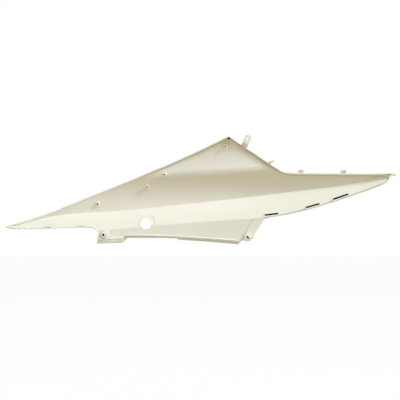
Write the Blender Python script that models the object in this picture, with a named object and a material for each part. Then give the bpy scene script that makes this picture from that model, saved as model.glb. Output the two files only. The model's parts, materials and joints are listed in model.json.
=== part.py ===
"""Scooter side panel: one injection moulding, seen from its inner side.

The panel stands as it does on the machine. X runs along the machine, with the
low nose at -X and the tail at +X, Z is up, and Y runs outward: the smooth
painted side faces +Y, the side with the screw posts faces -Y. The origin is
the centre of the seat face of the lower front fixing post.

Sizes are in millimetres and degrees, and become metres where points are made.
"""
import bpy
import bmesh
import math

MM = 0.001

# Skin
WALL = 2.5                  # thickness of the moulding
SEAT_TO_SKIN = 14.0         # from the seat face at the origin back to the apron

# Outline, as (x, z) points that smooth curves are drawn through
NOSE_TOP_EDGE = [(-215.0, 18.6), (-138.0, 42.6), (-28.0, 86.6), (74.0, 127.0)]
EDGE_STEP = (83.0, 131.2)   # the top edge steps up here, where the fin begins
FIN_PEAK = (275.6, 216.4)
FIN_EDGE = [EDGE_STEP, (170.0, 167.8), FIN_PEAK]
TAIL_TOP_EDGE = [FIN_PEAK, (345.9, 169.8), (379.0, 147.8), (401.0, 139.4), (424.0, 137.2), (630.0, 134.7)]
NOSE_LOW_EDGE = [(-215.0, 15.0), (-183.0, 13.1), (-139.0, 13.8), (-51.0, 16.4), (-30.0, 15.8), (-20.0, 13.8),
                 (-14.0, 11.0), (-10.8, 8.3)]
APRON_CREASE = [(-10.8, 8.3), (35.7, 12.7), (124.2, 20.4), (212.8, 28.2), (301.4, 34.2), (357.5, 38.8)]
TAIL_LOW_EDGE = [(357.5, 38.8), (390.0, 43.2), (434.0, 52.6), (478.0, 64.4), (522.0, 78.8), (566.0, 93.4),
                 (610.0, 110.2), (617.0, 113.4), (622.0, 117.8), (628.0, 126.0)]
MAIN_CREASE = [(-190.0, 20.4), (-172.0, 25.0), (-128.0, 37.6), (-95.0, 43.6), (-51.0, 47.0), (37.0, 52.9),
               (169.0, 66.0), (301.0, 80.6), (433.0, 97.0), (565.0, 115.4), (631.0, 127.5)]
VALLEY = [(98.0, 131.9), (169.0, 134.6), (301.0, 141.2), (378.0, 145.1)]
SKIN_START = -190.0         # the hollow section ends here, and the solid nose tip begins
NOSE_TIP_HEIGHT = 2.0       # above the skin's inner face
END_INSET = 3.5             # the hollow section stops this far short of the tail's last point
SKIN_END = TAIL_LOW_EDGE[-1][0] - END_INSET

# Apron below the band, and its fixing strip
APRON_LOW_EDGE = [(-15.0, -19.5), (36.7, -17.5), (44.2, -15.6), (51.5, -7.0), (135.2, -7.3), (161.8, -8.5),
                  (164.6, -11.3), (214.0, -14.4), (258.3, -17.6), (293.6, -21.1), (299.6, -19.2),
                  (304.2, -14.8), (311.7, -14.6), (318.8, -15.2), (324.3, -13.0), (327.9, -7.0)]
APRON_RIB = [(-12.8, -10.4), (20.0, -8.1), (43.4, -7.5), (48.4, -1.2), (110.0, -1.8), (168.8, -4.2),
             (240.0, -8.8), (301.9, -13.4)]
STRIP_FOOT = 37.9           # the apron's last columns fan in to this length of its lower edge
STRIP_FROM = APRON_LOW_EDGE[-1][0] - STRIP_FOOT
STRIP_RIB_TOP = (333.0, 37.0)

# Depth: how far the skin stands out along the machine, and how its zones lean
CREASE_DEPTH = [(-215.0, -2.0), (-100.0, 27.0), (0.0, 43.0), (150.0, 49.0), (300.0, 46.0), (450.0, 30.0),
                (560.0, 9.0), (642.0, -15.0)]
BAND_LEAN = [(-215.0, 28.0), (0.0, 35.0), (330.0, 35.0), (625.0, 28.0)]
FIELD_LEAN_LOW = [(-215.0, 4.0), (100.0, 5.0), (300.0, 10.0), (450.0, 20.0), (625.0, 28.0)]
FIELD_LEAN_HIGH = [(-215.0, 30.0), (100.0, 33.0), (300.0, 36.0), (450.0, 38.0), (625.0, 42.0)]
FIN_LEAN_LOW = -2.0
FIN_LEAN_HIGH = 22.0
FIN_ROLL = 65.0             # height over which the fin reaches its upper lean
VALLEY_ROUND = 9.0          # half the height of the rounded valley
APRON_LEAN = 1.0
HEM_LEAN = 26.0             # the hem below the apron's rib turns outward

# Rolled and returned edges
CURL_HEIGHT = [(-190.0, 2.5), (-100.0, 4.0), (60.0, 7.0), (110.0, 13.0), (400.0, 13.0), (600.0, 8.0),
               (625.0, 4.0)]
CURL_LEAN = [(-190.0, 6.0), (40.0, 10.0), (110.0, 22.0), (276.0, 34.0), (345.0, 30.0), (400.0, 16.0),
             (600.0, 12.0)]
TOP_RETURN = [(-203.0, 2.0), (-150.0, 2.4), (60.0, 2.4), (100.0, 2.6), (276.0, 2.8), (345.0, 2.8),
              (400.0, 4.0), (600.0, 3.5), (625.0, 3.0)]
TOP_RETURN_DRAFT = 42.0
LOW_RETURN = 4.0
LOW_RETURN_DRAFT = 12.0
LOW_RETURN_END = -24.0
TAIL_LIP_HEIGHT = 2.0       # the tail's lower edge is rolled outward
TAIL_LIP_DEPTH = 3.0
LIP_INSET = 12.0            # the lip stops this far short of the tail's last point
TAIL_LIP_END = TAIL_LOW_EDGE[-1][0] - LIP_INSET

# Screw posts: (x, z), height above the skin
SMALL_POSTS = [((-15.2, 68.3), 8.0), ((95.2, 105.5), 10.0), ((133.9, 133.2), 10.0), ((268.5, 194.9), 9.0)]
POST_TOP_RADIUS = 4.2
POST_BASE_RADIUS = 5.0
POST_HOLE_RADIUS = 1.5
POST_HOLE_DEPTH = 7.0

# Lower fixing posts
FRONT_POST_RADIUS = 6.0
FRONT_HOLE_RADIUS = 2.65
FRONT_HOLE_DEPTH = 13.0
COLLAR_RADIUS = 10.0
COLLAR_HEIGHT = 4.0
REAR_POST_AT = (317.8, -5.6)
REAR_POST_RADIUS = 7.0
REAR_POST_HEIGHT = 9.0
REAR_SLOT_LENGTH = 6.6      # along the slot, wall to wall
REAR_SLOT_WIDTH = 3.0
REAR_SLOT_TURN = -41.0
REAR_SLOT_DEPTH = 8.0

# Round opening with its flat pad
LOCK_AT = (92.8, 23.8)
LOCK_RADIUS = 11.4
PAD_OUTLINE = [(-17.8, 2.8), (-11.2, 14.4), (-3.0, 21.7), (9.7, 21.7), (17.6, 10.7), (19.8, 0.8),
               (14.0, -4.6), (-14.0, -5.6)]
PAD_PROUD = 0.6             # above the skin along the pad's lower edge
PAD_LEAN = 33.0

# Ribs
RIB_WIDTH = 2.2
RIB_HEIGHT = 6.0
STRIP_RIB_HEIGHT = 4.5

# Slotted loops on the tail's lower edge: the two ends of each slot
LOOPS = [((355.6, 43.4), (384.0, 47.0)), ((446.2, 60.4), (474.4, 68.3)), ((505.9, 78.5), (537.3, 89.5))]
LOOP_SLOT_WIDTH = 2.6
LOOP_RIM = 2.3
LOOP_HEIGHT = 2.8
LOOP_SLOT_BOTTOM = 0.8      # skin left under each slot

# Hooks on the top edge: the outline of each claw from its root, and (x, z) of the roots
LOW_CLAW = [(-1.5, -1.0), (1.5, 3.2), (5.0, 4.8), (12.4, 6.6), (14.6, 6.2), (14.8, 4.4), (10.0, 2.2),
            (6.5, -0.4), (6.0, -4.0)]
HIGH_CLAW = [(-1.0, -2.0), (1.4, 2.8), (3.6, 6.2), (6.0, 7.4), (14.6, 7.3), (16.8, 6.0), (16.6, 4.0),
             (14.4, 3.0), (12.2, 1.4), (12.0, -2.0)]
HOOKS = [((362.5, 157.6), LOW_CLAW), ((427.0, 136.6), HIGH_CLAW), ((520.5, 135.8), HIGH_CLAW)]
HOOK_WIDTH = 6.0            # along Y
HOOK_EYE = (9.4, 2.0)
HOOK_EYE_RADIUS = 1.2
HOOK_EYE_DEPTH = 4.0

# Screw tab: lengths are from its root, along it
TAB_ROOT = (309.2, 193.8)
TAB_TURN = 66.0
TAB_LENGTH = 27.6
TAB_ROOT_DEPTH = 2.6        # into the returned edge
TAB_HALF_WIDTH = 7.2
TAB_SHOULDER = 3.6          # length of the rounded tip
TAB_THICK = 2.5
TAB_JOGGLE_AT = 7.0
TAB_JOGGLE = 3.0
TAB_HOLE_AT = 19.4
TAB_HOLE_SIDE = 4.2
TAB_RIDGE_WIDTH = 1.3
TAB_RIDGE_HEIGHT = 1.0
TAB_RIDGES = (6.4, 3.6)     # offset of each long ridge from the tab's middle

# Tongue at the tail: outlines from the skin's end and the top edge, with a barb at the tongue's end
TONGUE_OUTLINE = [(-13.5, -0.6), (14.0, 0.0), (16.0, -1.6), (16.0, -4.2), (12.6, -4.2), (11.4, -2.6),
                  (9.0, -3.0), (4.0, -5.6), (1.0, -7.8), (-13.5, -5.2)]
TONGUE_SLIT = [(-2.5, -2.2), (5.0, -2.2), (5.0, -1.0), (-2.5, -1.0)]
TONGUE_WIDTH = 5.0          # along Y
TONGUE_SLIT_DEPTH = 3.0

# Small recesses: a corner pocket under the fin's peak, two slits over the nose's lower return
PEAK_POCKET_RADIUS = 2.0
PEAK_POCKET_DROP = 1.6
NOSE_SLITS = [(-133.0, -116.0), (-58.0, -43.0)]
NOSE_SLIT_HEIGHT = 1.6
RECESS_DEPTH = 1.5

# Moulding marks on the apron
EJECTOR_AT = (115.6, 10.2)
EJECTOR_RADIUS = 6.0
EJECTOR_HEIGHT = 0.4
TICK = [(213.5, 26.0), (221.0, 22.2)]
TICK_WIDTH = 1.6
TICK_HEIGHT = 1.2

STATION_PITCH = 17.0
RAIL_PITCH = 25.0
ROUND_SIDES = 24
CUT_START = 1.0             # a hole's cutter starts this far in front of the face
CUT_THROUGH = 60.0          # a through hole's cutter ends this far behind it


def tan(degrees):
    return math.tan(math.radians(degrees))


def curve(points):
    """A smooth function through a few points that never overshoots them."""
    xs = [p[0] for p in points]
    zs = [p[1] for p in points]
    slopes = [(zs[i + 1] - zs[i]) / (xs[i + 1] - xs[i]) for i in range(len(xs) - 1)]
    tangents = [slopes[0]]
    for a, b in zip(slopes, slopes[1:]):
        tangents.append(2 * a * b / (a + b) if a * b > 0 else 0.0)
    tangents.append(slopes[-1])

    def value(x):
        if x <= xs[0]:
            return zs[0] + tangents[0] * (x - xs[0])
        if x >= xs[-1]:
            return zs[-1] + tangents[-1] * (x - xs[-1])
        i = max(k for k in range(len(xs) - 1) if xs[k] <= x)
        h = xs[i + 1] - xs[i]
        u = (x - xs[i]) / h
        return ((1 + 2 * u) * (1 - u) ** 2 * zs[i] + u * u * (3 - 2 * u) * zs[i + 1]
                + u * (1 - u) ** 2 * h * tangents[i] - u * u * (1 - u) * h * tangents[i + 1])
    return value


nose_top = curve(NOSE_TOP_EDGE)
fin_edge = curve(FIN_EDGE)
tail_top = curve(TAIL_TOP_EDGE)
nose_low = curve(NOSE_LOW_EDGE)
apron_crease = curve(APRON_CREASE)
tail_low = curve(TAIL_LOW_EDGE)
main_crease = curve(MAIN_CREASE)
valley = curve(VALLEY)
crease_depth = curve(CREASE_DEPTH)
band_lean = curve(BAND_LEAN)
field_lean_low = curve(FIELD_LEAN_LOW)
field_lean_high = curve(FIELD_LEAN_HIGH)
top_return = curve(TOP_RETURN)
curl_height = curve(CURL_HEIGHT)
curl_lean = curve(CURL_LEAN)

APRON_LEFT = APRON_CREASE[0][0]
APRON_RIGHT = APRON_CREASE[-1][0]


def straight(points, x):
    """Height of a line of straight runs at x."""
    for (xa, za), (xb, zb) in zip(points, points[1:]):
        if x <= xb:
            return za + (zb - za) * (x - xa) / (xb - xa)
    return points[-1][1]


def top_edge(x):
    """The panel's upper outline."""
    ramp_start = NOSE_TOP_EDGE[-1][0]
    if x <= ramp_start:
        return nose_top(x)
    if x <= EDGE_STEP[0]:
        return straight([NOSE_TOP_EDGE[-1], EDGE_STEP], x)
    return fin_edge(x) if x <= FIN_PEAK[0] else tail_top(x)


def steepness(line, x):
    """Length of a line per millimetre of x, for offsets square to it."""
    reach = 2.0
    return math.hypot(1.0, (line(x + reach) - line(x - reach)) / (2 * reach))


def top_corner(x):
    """Inner corner where the skin meets the returned top edge."""
    inset = WALL + top_return(x) * tan(TOP_RETURN_DRAFT)
    return top_edge(x) - inset * steepness(top_edge, x)


def lower_line(x):
    """Lower edge of the band: the nose's edge, the apron's crease, then the tail's edge."""
    if x < APRON_LEFT:
        fade = min(1.0, (APRON_LEFT - x) / 12.0)
        return nose_low(x) + fade * (WALL + LOW_RETURN * tan(LOW_RETURN_DRAFT)) * 0.8
    if x <= APRON_RIGHT:
        return apron_crease(x)
    fade = min(1.0, (x - APRON_RIGHT) / 12.0, max(0.0, (SKIN_END - x) / 7.0))
    return tail_low(x) + fade * TAIL_LIP_HEIGHT


def leaning(knots, z):
    """How far a surface has come inward at z, when its lean changes evenly between knots."""
    fall = 0.0
    for (za, sa), (zb, sb) in zip(knots, knots[1:]):
        if z <= za:
            break
        end = min(z, zb)
        s_end = sa + (sb - sa) * (end - za) / (zb - za)
        fall += (end - za) * (sa + s_end) / 2
    if z > knots[-1][0]:
        fall += (z - knots[-1][0]) * knots[-1][1]
    return fall


def curl_reach(x):
    """Height over which the top edge rolls inward."""
    return min(curl_height(x), 0.4 * (top_corner(x) - main_crease(x)))


def curl(x, z):
    """How far the rolled top edge has come inward at z."""
    reach = curl_reach(x)
    start = top_corner(x) - reach
    if z <= start:
        return 0.0
    share = min(1.0, (z - start) / reach)
    return tan(curl_lean(x)) * reach * share ** 3 / 3


def skin_offset():
    """Depth of the apron at the origin, before the seat face is put at zero."""
    return crease_depth(0.0) - (main_crease(0.0) - apron_crease(0.0)) * tan(band_lean(0.0))


SEAT_SHIFT = SEAT_TO_SKIN - skin_offset()


def body_depth(x, z):
    """Inner face of the band, the main field, the valley and the fin."""
    crease = main_crease(x)
    depth = crease_depth(x) + SEAT_SHIFT
    if z < crease:
        return depth - (crease - z) * tan(band_lean(x))
    low, high = tan(field_lean_low(x)), tan(field_lean_high(x))
    bend = valley(x)
    knots = [(crease, low), (bend - VALLEY_ROUND, high), (bend + VALLEY_ROUND, tan(FIN_LEAN_LOW)),
             (bend + VALLEY_ROUND + FIN_ROLL, tan(FIN_LEAN_HIGH))]
    return depth - leaning(knots, z) - curl(x, z)


def hem_line(x):
    """Where the apron ends and its outward-turned hem begins."""
    if x <= APRON_RIB[-1][0]:
        return straight(APRON_RIB, x)
    return straight(APRON_LOW_EDGE, x) + 1.0


def skin_depth(x, z):
    """Inner face of the whole panel."""
    if not APRON_LEFT - 6 <= x <= APRON_RIGHT:
        return body_depth(x, z)
    top = lower_line(max(x, APRON_LEFT))
    if z >= top:
        return body_depth(x, z)
    depth = body_depth(x, top) + (top - z) * tan(APRON_LEAN)
    hem = min(hem_line(x), top)
    return depth + max(0.0, hem - z) * tan(HEM_LEAN)


def at(x, y, z):
    return (x * MM, y * MM, z * MM)


def stations():
    """Places along X where the section is drawn; corners of the outline always get one."""
    corners = {SKIN_START, LOW_RETURN_END, NOSE_TOP_EDGE[-1][0], EDGE_STEP[0], FIN_PEAK[0], STRIP_FROM,
               APRON_RIB[-1][0], TAIL_LIP_END, SKIN_END}
    corners |= {x for x, z in NOSE_LOW_EDGE[-3:]}
    corners |= {x for x, z in APRON_LOW_EDGE[2:7]}
    corners |= {APRON_RIGHT}
    marks = sorted(corners)
    places = []
    for a, b in zip(marks, marks[1:]):
        count = max(1, round((b - a) / STATION_PITCH))
        places += [a + (b - a) * i / count for i in range(count)]
    return places + [marks[-1]]


def section_heights(x):
    """Heights of the body's points at one station, from its lower line to its top corner."""
    low, crease, top = lower_line(x), main_crease(x), top_corner(x)
    roll = top - curl_reach(x)
    bend = min(valley(x), crease + 0.75 * (roll - crease))
    half = min(VALLEY_ROUND, 0.2 * (roll - crease))
    heights = [low, (low + crease) / 2]
    heights += [crease + (bend - half - crease) * i / 4 for i in range(4)]
    heights += [bend + half * i / 2 for i in range(-2, 3)]
    heights += [(bend + half + roll) / 2]
    heights += [roll + (top - roll) * share for share in (0.0, 0.4, 0.7, 0.9, 1.0)]
    return heights


def apron_column(x):
    """Points of the apron below one station, as (x, z), from the crease down to the hem."""
    top = apron_crease(x)
    if x <= STRIP_FROM:
        foot_x = x
    else:
        last = APRON_LOW_EDGE[-1][0]
        foot_x = STRIP_FROM + (x - STRIP_FROM) * (last - STRIP_FROM) / (APRON_RIGHT - STRIP_FROM)
    if x == APRON_LEFT:
        foot_x = APRON_LOW_EDGE[0][0]
    hem = hem_line(foot_x)
    foot = straight(APRON_LOW_EDGE, foot_x)
    places = []
    for share in (0.4, 0.75):
        places.append((x + (foot_x - x) * share, top + (hem - top) * share))
    hem_share = (top - hem) / (top - foot)
    places.append((x + (foot_x - x) * hem_share, hem))
    places.append((foot_x, foot))
    return places


def make_sheet():
    """The inner face of the panel, with its apron and its returned edges, as one open sheet."""
    mesh = bmesh.new()
    places = stations()
    grid = []
    for x in places:
        grid.append([mesh.verts.new(at(x, body_depth(x, z), z)) for z in section_heights(x)])
    for left, right in zip(grid, grid[1:]):
        for i in range(len(left) - 1):
            mesh.faces.new((left[i], right[i], right[i + 1], left[i + 1]))
    add_top_return(mesh, places, grid)
    add_low_return(mesh, places, grid)
    add_tail_lip(mesh, places, grid)
    add_apron(mesh, places, grid)
    return mesh


def add_top_return(mesh, places, grid):
    rims = []
    for x, column in zip(places, grid):
        reach = top_return(x)
        z = top_corner(x) + reach * tan(TOP_RETURN_DRAFT) * steepness(top_edge, x)
        rims.append(mesh.verts.new(at(x, body_depth(x, top_corner(x)) - reach, z)))
    for i in range(len(places) - 1):
        mesh.faces.new((grid[i][-1], grid[i + 1][-1], rims[i + 1], rims[i]))


def add_low_return(mesh, places, grid):
    used = [i for i, x in enumerate(places) if x <= LOW_RETURN_END]
    rims = []
    for i in used:
        x = places[i]
        z = lower_line(x) - LOW_RETURN * tan(LOW_RETURN_DRAFT)
        rims.append(mesh.verts.new(at(x, body_depth(x, lower_line(x)) - LOW_RETURN, z)))
    for k in range(len(used) - 1):
        mesh.faces.new((rims[k], rims[k + 1], grid[used[k + 1]][0], grid[used[k]][0]))


def add_tail_lip(mesh, places, grid):
    used = [i for i, x in enumerate(places) if APRON_RIGHT < x <= TAIL_LIP_END]
    rims = []
    for i in used:
        x = places[i]
        z = lower_line(x) - TAIL_LIP_HEIGHT
        rims.append(mesh.verts.new(at(x, body_depth(x, lower_line(x)) + TAIL_LIP_DEPTH, z)))
    for k in range(len(used) - 1):
        mesh.faces.new((rims[k], rims[k + 1], grid[used[k + 1]][0], grid[used[k]][0]))


def add_apron(mesh, places, grid):
    columns = []
    for x, column in zip(places, grid):
        if APRON_LEFT <= x <= APRON_RIGHT:
            points = [column[0]]
            for px, pz in apron_column(x):
                points.append(mesh.verts.new(at(px, skin_depth(px, pz), pz)))
            columns.append(points)
    for left, right in zip(columns, columns[1:]):
        for i in range(len(left) - 1):
            mesh.faces.new((left[i + 1], right[i + 1], right[i], left[i]))


def make_object(name, mesh, collection):
    data = bpy.data.meshes.new(name)
    bmesh.ops.recalc_face_normals(mesh, faces=mesh.faces)
    mesh.to_mesh(data)
    mesh.free()
    thing = bpy.data.objects.new(name, data)
    collection.objects.link(thing)
    return thing


def ring(mesh, x, z, radius, depth):
    """A circle of points about (x, z); depth is a number or a function of (x, z)."""
    points = []
    for k in range(ROUND_SIDES):
        turn = 2 * math.pi * (k + 0.5) / ROUND_SIDES
        px, pz = x + radius * math.cos(turn), z + radius * math.sin(turn)
        points.append(mesh.verts.new(at(px, depth(px, pz) if callable(depth) else depth, pz)))
    return points


def inside_wall(x, z):
    """Middle of the skin, where every added piece is rooted."""
    return skin_depth(x, z) + WALL / 2


def post(name, place, base_radius, top_radius, top_depth, collection, back=inside_wall):
    """A round post whose foot follows the skin."""
    x, z = place
    mesh = bmesh.new()
    foot = ring(mesh, x, z, base_radius, back)
    head = ring(mesh, x, z, top_radius, top_depth)
    centre = mesh.verts.new(at(x, back(x, z) if callable(back) else back, z))
    for k in range(ROUND_SIDES):
        n = (k + 1) % ROUND_SIDES
        mesh.faces.new((foot[k], foot[n], head[n], head[k]))
        mesh.faces.new((foot[n], foot[k], centre))
    mesh.faces.new(head)
    return make_object(name, mesh, collection)


def path_points(path, spacing):
    """The corners of a path, with extra points along its long runs."""
    points = []
    for a, b in zip(path, path[1:]):
        count = max(1, round(math.dist(a, b) / spacing))
        points += [(a[0] + (b[0] - a[0]) * i / count, a[1] + (b[1] - a[1]) * i / count) for i in range(count)]
    return points + [path[-1]]


def rail(name, path, width, front, back, collection):
    """A bar along a path, from its front depth to its back depth, mitred at the bends."""
    points = path_points(path, RAIL_PITCH)
    mesh = bmesh.new()
    sections = []
    for i, (x, z) in enumerate(points):
        before = points[max(i - 1, 0)]
        after = points[min(i + 1, len(points) - 1)]
        into = direction(before, (x, z)) if i else direction((x, z), after)
        out = direction((x, z), after) if i < len(points) - 1 else into
        tx, tz = into[0] + out[0], into[1] + out[1]
        size = math.hypot(tx, tz)
        nx, nz = -tz / size, tx / size
        half = width / 2 / max(0.5, nx * -into[1] + nz * into[0])
        section = []
        for side, depth in ((1, back), (1, front), (-1, front), (-1, back)):
            px, pz = x + side * nx * half, z + side * nz * half
            section.append(mesh.verts.new(at(px, depth(px, pz), pz)))
        sections.append(section)
    for a, b in zip(sections, sections[1:]):
        for k in range(4):
            n = (k + 1) % 4
            mesh.faces.new((a[k], a[n], b[n], b[k]))
    mesh.faces.new(sections[0])
    mesh.faces.new(sections[-1][::-1])
    return make_object(name, mesh, collection)


def direction(a, b):
    size = math.dist(a, b)
    return ((b[0] - a[0]) / size, (b[1] - a[1]) / size)


def slab(name, outline, front, back, collection):
    """A flat outline carried through in depth; front and back are numbers or functions."""
    mesh = bmesh.new()
    faces = []
    for depth in (front, back):
        points = []
        for x, z in outline:
            points.append(mesh.verts.new(at(x, depth(x, z) if callable(depth) else depth, z)))
        faces.append(points)
    near, far = faces
    for k in range(len(outline)):
        n = (k + 1) % len(outline)
        mesh.faces.new((near[k], near[n], far[n], far[k]))
    caps = [mesh.faces.new(near), mesh.faces.new(far[::-1])]
    mesh.normal_update()
    bmesh.ops.triangulate(mesh, faces=caps)
    return make_object(name, mesh, collection)


def capsule(start, end, radius, steps=6):
    """Outline of a slot with round ends, from one end's centre to the other's."""
    heading = math.degrees(math.atan2(end[1] - start[1], end[0] - start[0]))
    outline = []
    for centre, first in ((end, heading - 90), (start, heading + 90)):
        for k in range(steps + 1):
            turn = math.radians(first + 180 * k / steps)
            outline.append((centre[0] + radius * math.cos(turn), centre[1] + radius * math.sin(turn)))
    return outline


def turned(points, at_point, degrees):
    """Points given along and across a direction, placed about a point."""
    c, s = math.cos(math.radians(degrees)), math.sin(math.radians(degrees))
    return [(at_point[0] + a * c - b * s, at_point[1] + a * s + b * c) for a, b in points]


def add_small_posts(fixings, openings):
    for number, (place, height) in enumerate(SMALL_POSTS, start=1):
        top = skin_depth(*place) - height
        post(f"post_{number}", place, POST_BASE_RADIUS, POST_TOP_RADIUS, top, fixings)
        post(f"post_hole_{number}", place, POST_HOLE_RADIUS, POST_HOLE_RADIUS, top - CUT_START,
             openings, back=top + POST_HOLE_DEPTH)


def add_front_post(fixings, openings):
    """The post whose seat face holds the origin."""
    place = (0.0, 0.0)
    post("collar", place, COLLAR_RADIUS, COLLAR_RADIUS - 0.6, SEAT_TO_SKIN - COLLAR_HEIGHT, fixings)
    post("front_post", place, FRONT_POST_RADIUS + 0.5, FRONT_POST_RADIUS, 0.0, fixings)
    post("front_hole", place, FRONT_HOLE_RADIUS, FRONT_HOLE_RADIUS, -CUT_START, openings,
         back=FRONT_HOLE_DEPTH)


def add_rear_post(fixings, openings):
    top = skin_depth(*REAR_POST_AT) - REAR_POST_HEIGHT
    post("rear_post", REAR_POST_AT, REAR_POST_RADIUS + 0.4, REAR_POST_RADIUS, top, fixings)
    half = REAR_SLOT_LENGTH / 2 - REAR_SLOT_WIDTH / 2
    ends = turned([(-half, 0.0), (half, 0.0)], REAR_POST_AT, REAR_SLOT_TURN)
    slab("rear_slot", capsule(*ends, REAR_SLOT_WIDTH / 2), top - CUT_START, top + REAR_SLOT_DEPTH, openings)


def add_lock_opening(fixings, openings):
    """A flat pad on the leaning band, and the round opening through it."""
    outline = [(LOCK_AT[0] + x, LOCK_AT[1] + z) for x, z in PAD_OUTLINE]
    foot = min(z for x, z in outline)
    front = skin_depth(LOCK_AT[0], foot) - PAD_PROUD

    def face(x, z):
        return front + (z - foot) * tan(PAD_LEAN)

    slab("lock_pad", outline, face, lambda x, z: max(inside_wall(x, z), face(x, z) + 1.0), fixings)
    post("lock_opening", LOCK_AT, LOCK_RADIUS, LOCK_RADIUS, front - CUT_START, openings,
         back=front + CUT_THROUGH)


def add_ribs(fixings):
    rail("apron_rib", APRON_RIB, RIB_WIDTH, lambda x, z: skin_depth(x, z) - RIB_HEIGHT, inside_wall, fixings)
    rail("strip_rib", [APRON_RIB[-1], STRIP_RIB_TOP], RIB_WIDTH,
         lambda x, z: skin_depth(x, z) - STRIP_RIB_HEIGHT, inside_wall, fixings)


def add_loops(fixings, openings):
    """Raised slotted loops that take the clips of the panel below."""
    for number, (start, end) in enumerate(LOOPS, start=1):
        slab(f"loop_{number}", capsule(start, end, LOOP_SLOT_WIDTH / 2 + LOOP_RIM),
             lambda x, z: body_depth(x, z) - LOOP_HEIGHT, lambda x, z: body_depth(x, z) + WALL / 2, fixings)
        slab(f"loop_slot_{number}", capsule(start, end, LOOP_SLOT_WIDTH / 2),
             lambda x, z: body_depth(x, z) - LOOP_HEIGHT - CUT_START,
             lambda x, z: body_depth(x, z) + WALL - LOOP_SLOT_BOTTOM, openings)


def rim_depth(x):
    """Front of the returned top edge."""
    return body_depth(x, top_corner(x)) - top_return(x)


def add_hooks(fixings, openings):
    for number, (root, claw) in enumerate(HOOKS, start=1):
        front = rim_depth(root[0])
        slab(f"hook_{number}", turned(claw, root, 0.0), front, front + HOOK_WIDTH, fixings)
        if claw is HIGH_CLAW:
            eye = (root[0] + HOOK_EYE[0], root[1] + HOOK_EYE[1])
            post(f"hook_eye_{number}", eye, HOOK_EYE_RADIUS, HOOK_EYE_RADIUS, front - CUT_START, openings,
                 back=front + HOOK_EYE_DEPTH)


def add_tab(fixings, openings):
    """A plate that leaves the returned edge, joggles toward the frame and carries a square hole."""
    back = rim_depth(TAB_ROOT[0]) + TAB_THICK
    front = back - TAB_JOGGLE - TAB_THICK
    tip = TAB_LENGTH - TAB_SHOULDER
    wide = TAB_HALF_WIDTH
    stages = [(-TAB_ROOT_DEPTH, wide, 0.0), (0.0, wide, 0.0), (TAB_JOGGLE_AT - 1.5, wide, 0.0),
              (TAB_JOGGLE_AT + 0.5, wide, -TAB_JOGGLE), (tip, wide, -TAB_JOGGLE),
              (tip + TAB_SHOULDER * 0.6, wide * 0.75, -TAB_JOGGLE), (TAB_LENGTH, wide * 0.3, -TAB_JOGGLE)]
    mesh = bmesh.new()
    sections = []
    for along, half, step in stages:
        (xa, za), (xb, zb) = turned([(along, -half), (along, half)], TAB_ROOT, TAB_TURN)
        y = back + step
        corners = ((xa, y, za), (xa, y - TAB_THICK, za), (xb, y - TAB_THICK, zb), (xb, y, zb))
        sections.append([mesh.verts.new(at(*corner)) for corner in corners])
    for a, b in zip(sections, sections[1:]):
        for k in range(4):
            n = (k + 1) % 4
            mesh.faces.new((a[k], a[n], b[n], b[k]))
    mesh.faces.new(sections[0])
    mesh.faces.new(sections[-1][::-1])
    make_object("tab", mesh, fixings)

    ridges = [[(TAB_JOGGLE_AT + 1.2, -wide + 0.5), (TAB_JOGGLE_AT + 1.2, wide - 0.5)]]
    ridges += [[(TAB_JOGGLE_AT + 2.0, offset), (tip, offset)] for offset in TAB_RIDGES]
    for number, ridge in enumerate(ridges, start=1):
        rail(f"tab_ridge_{number}", turned(ridge, TAB_ROOT, TAB_TURN), TAB_RIDGE_WIDTH,
             lambda x, z: front - TAB_RIDGE_HEIGHT, lambda x, z: front + TAB_THICK / 2, fixings)

    h = TAB_HOLE_SIDE / 2
    square = [(TAB_HOLE_AT - h, -h), (TAB_HOLE_AT + h, -h), (TAB_HOLE_AT + h, h), (TAB_HOLE_AT - h, h)]
    slab("tab_hole", turned(square, TAB_ROOT, TAB_TURN), front - CUT_START, front + CUT_THROUGH, openings)


def add_tongue(fixings, openings):
    """The tail's locating tongue, with a barb at its end and a slit beside its root."""
    def placed(points):
        return [(SKIN_END + x, top_edge(SKIN_END) + z) for x, z in points]

    def front(x, z):
        return rim_depth(min(x, SKIN_END))

    slab("tongue", placed(TONGUE_OUTLINE), front, lambda x, z: front(x, z) + TONGUE_WIDTH, fixings)
    slab("tongue_slit", placed(TONGUE_SLIT), lambda x, z: front(x, z) - CUT_START,
         lambda x, z: front(x, z) + TONGUE_SLIT_DEPTH, openings)


def add_nose_tip(fixings):
    """The solid point that closes the nose."""
    tip = NOSE_TOP_EDGE[0]
    joint = SKIN_START + 4.0
    outline = [(joint, nose_low(joint) + 1.2), (tip[0] + 3.0, tip[1] - 2.8), (tip[0] + 0.6, tip[1] - 1.6),
               (tip[0], tip[1] - 0.2), (tip[0] + 2.0, tip[1] + 0.6), (joint, top_edge(joint) - 1.2)]
    slab("nose_tip", outline, lambda x, z: body_depth(x, z) - NOSE_TIP_HEIGHT,
         lambda x, z: body_depth(x, z) + WALL / 2, fixings)


def add_recesses(openings):
    """The pocket in the corner under the peak, and the slits over the nose's lower return."""
    x, z = FIN_PEAK[0], top_corner(FIN_PEAK[0]) - PEAK_POCKET_DROP
    depth = body_depth(x, z)
    post("peak_pocket", (x, z), PEAK_POCKET_RADIUS, PEAK_POCKET_RADIUS, rim_depth(x) - CUT_START, openings,
         back=depth + RECESS_DEPTH)
    for number, (a, b) in enumerate(NOSE_SLITS, start=1):
        foot = lower_line((a + b) / 2) + 0.6
        slit = [(a, foot), (b, foot), (b, foot + NOSE_SLIT_HEIGHT), (a, foot + NOSE_SLIT_HEIGHT)]
        slab(f"nose_slit_{number}", slit, lambda x, z: body_depth(x, z) - CUT_START,
             lambda x, z: body_depth(x, z) + RECESS_DEPTH, openings)


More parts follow.
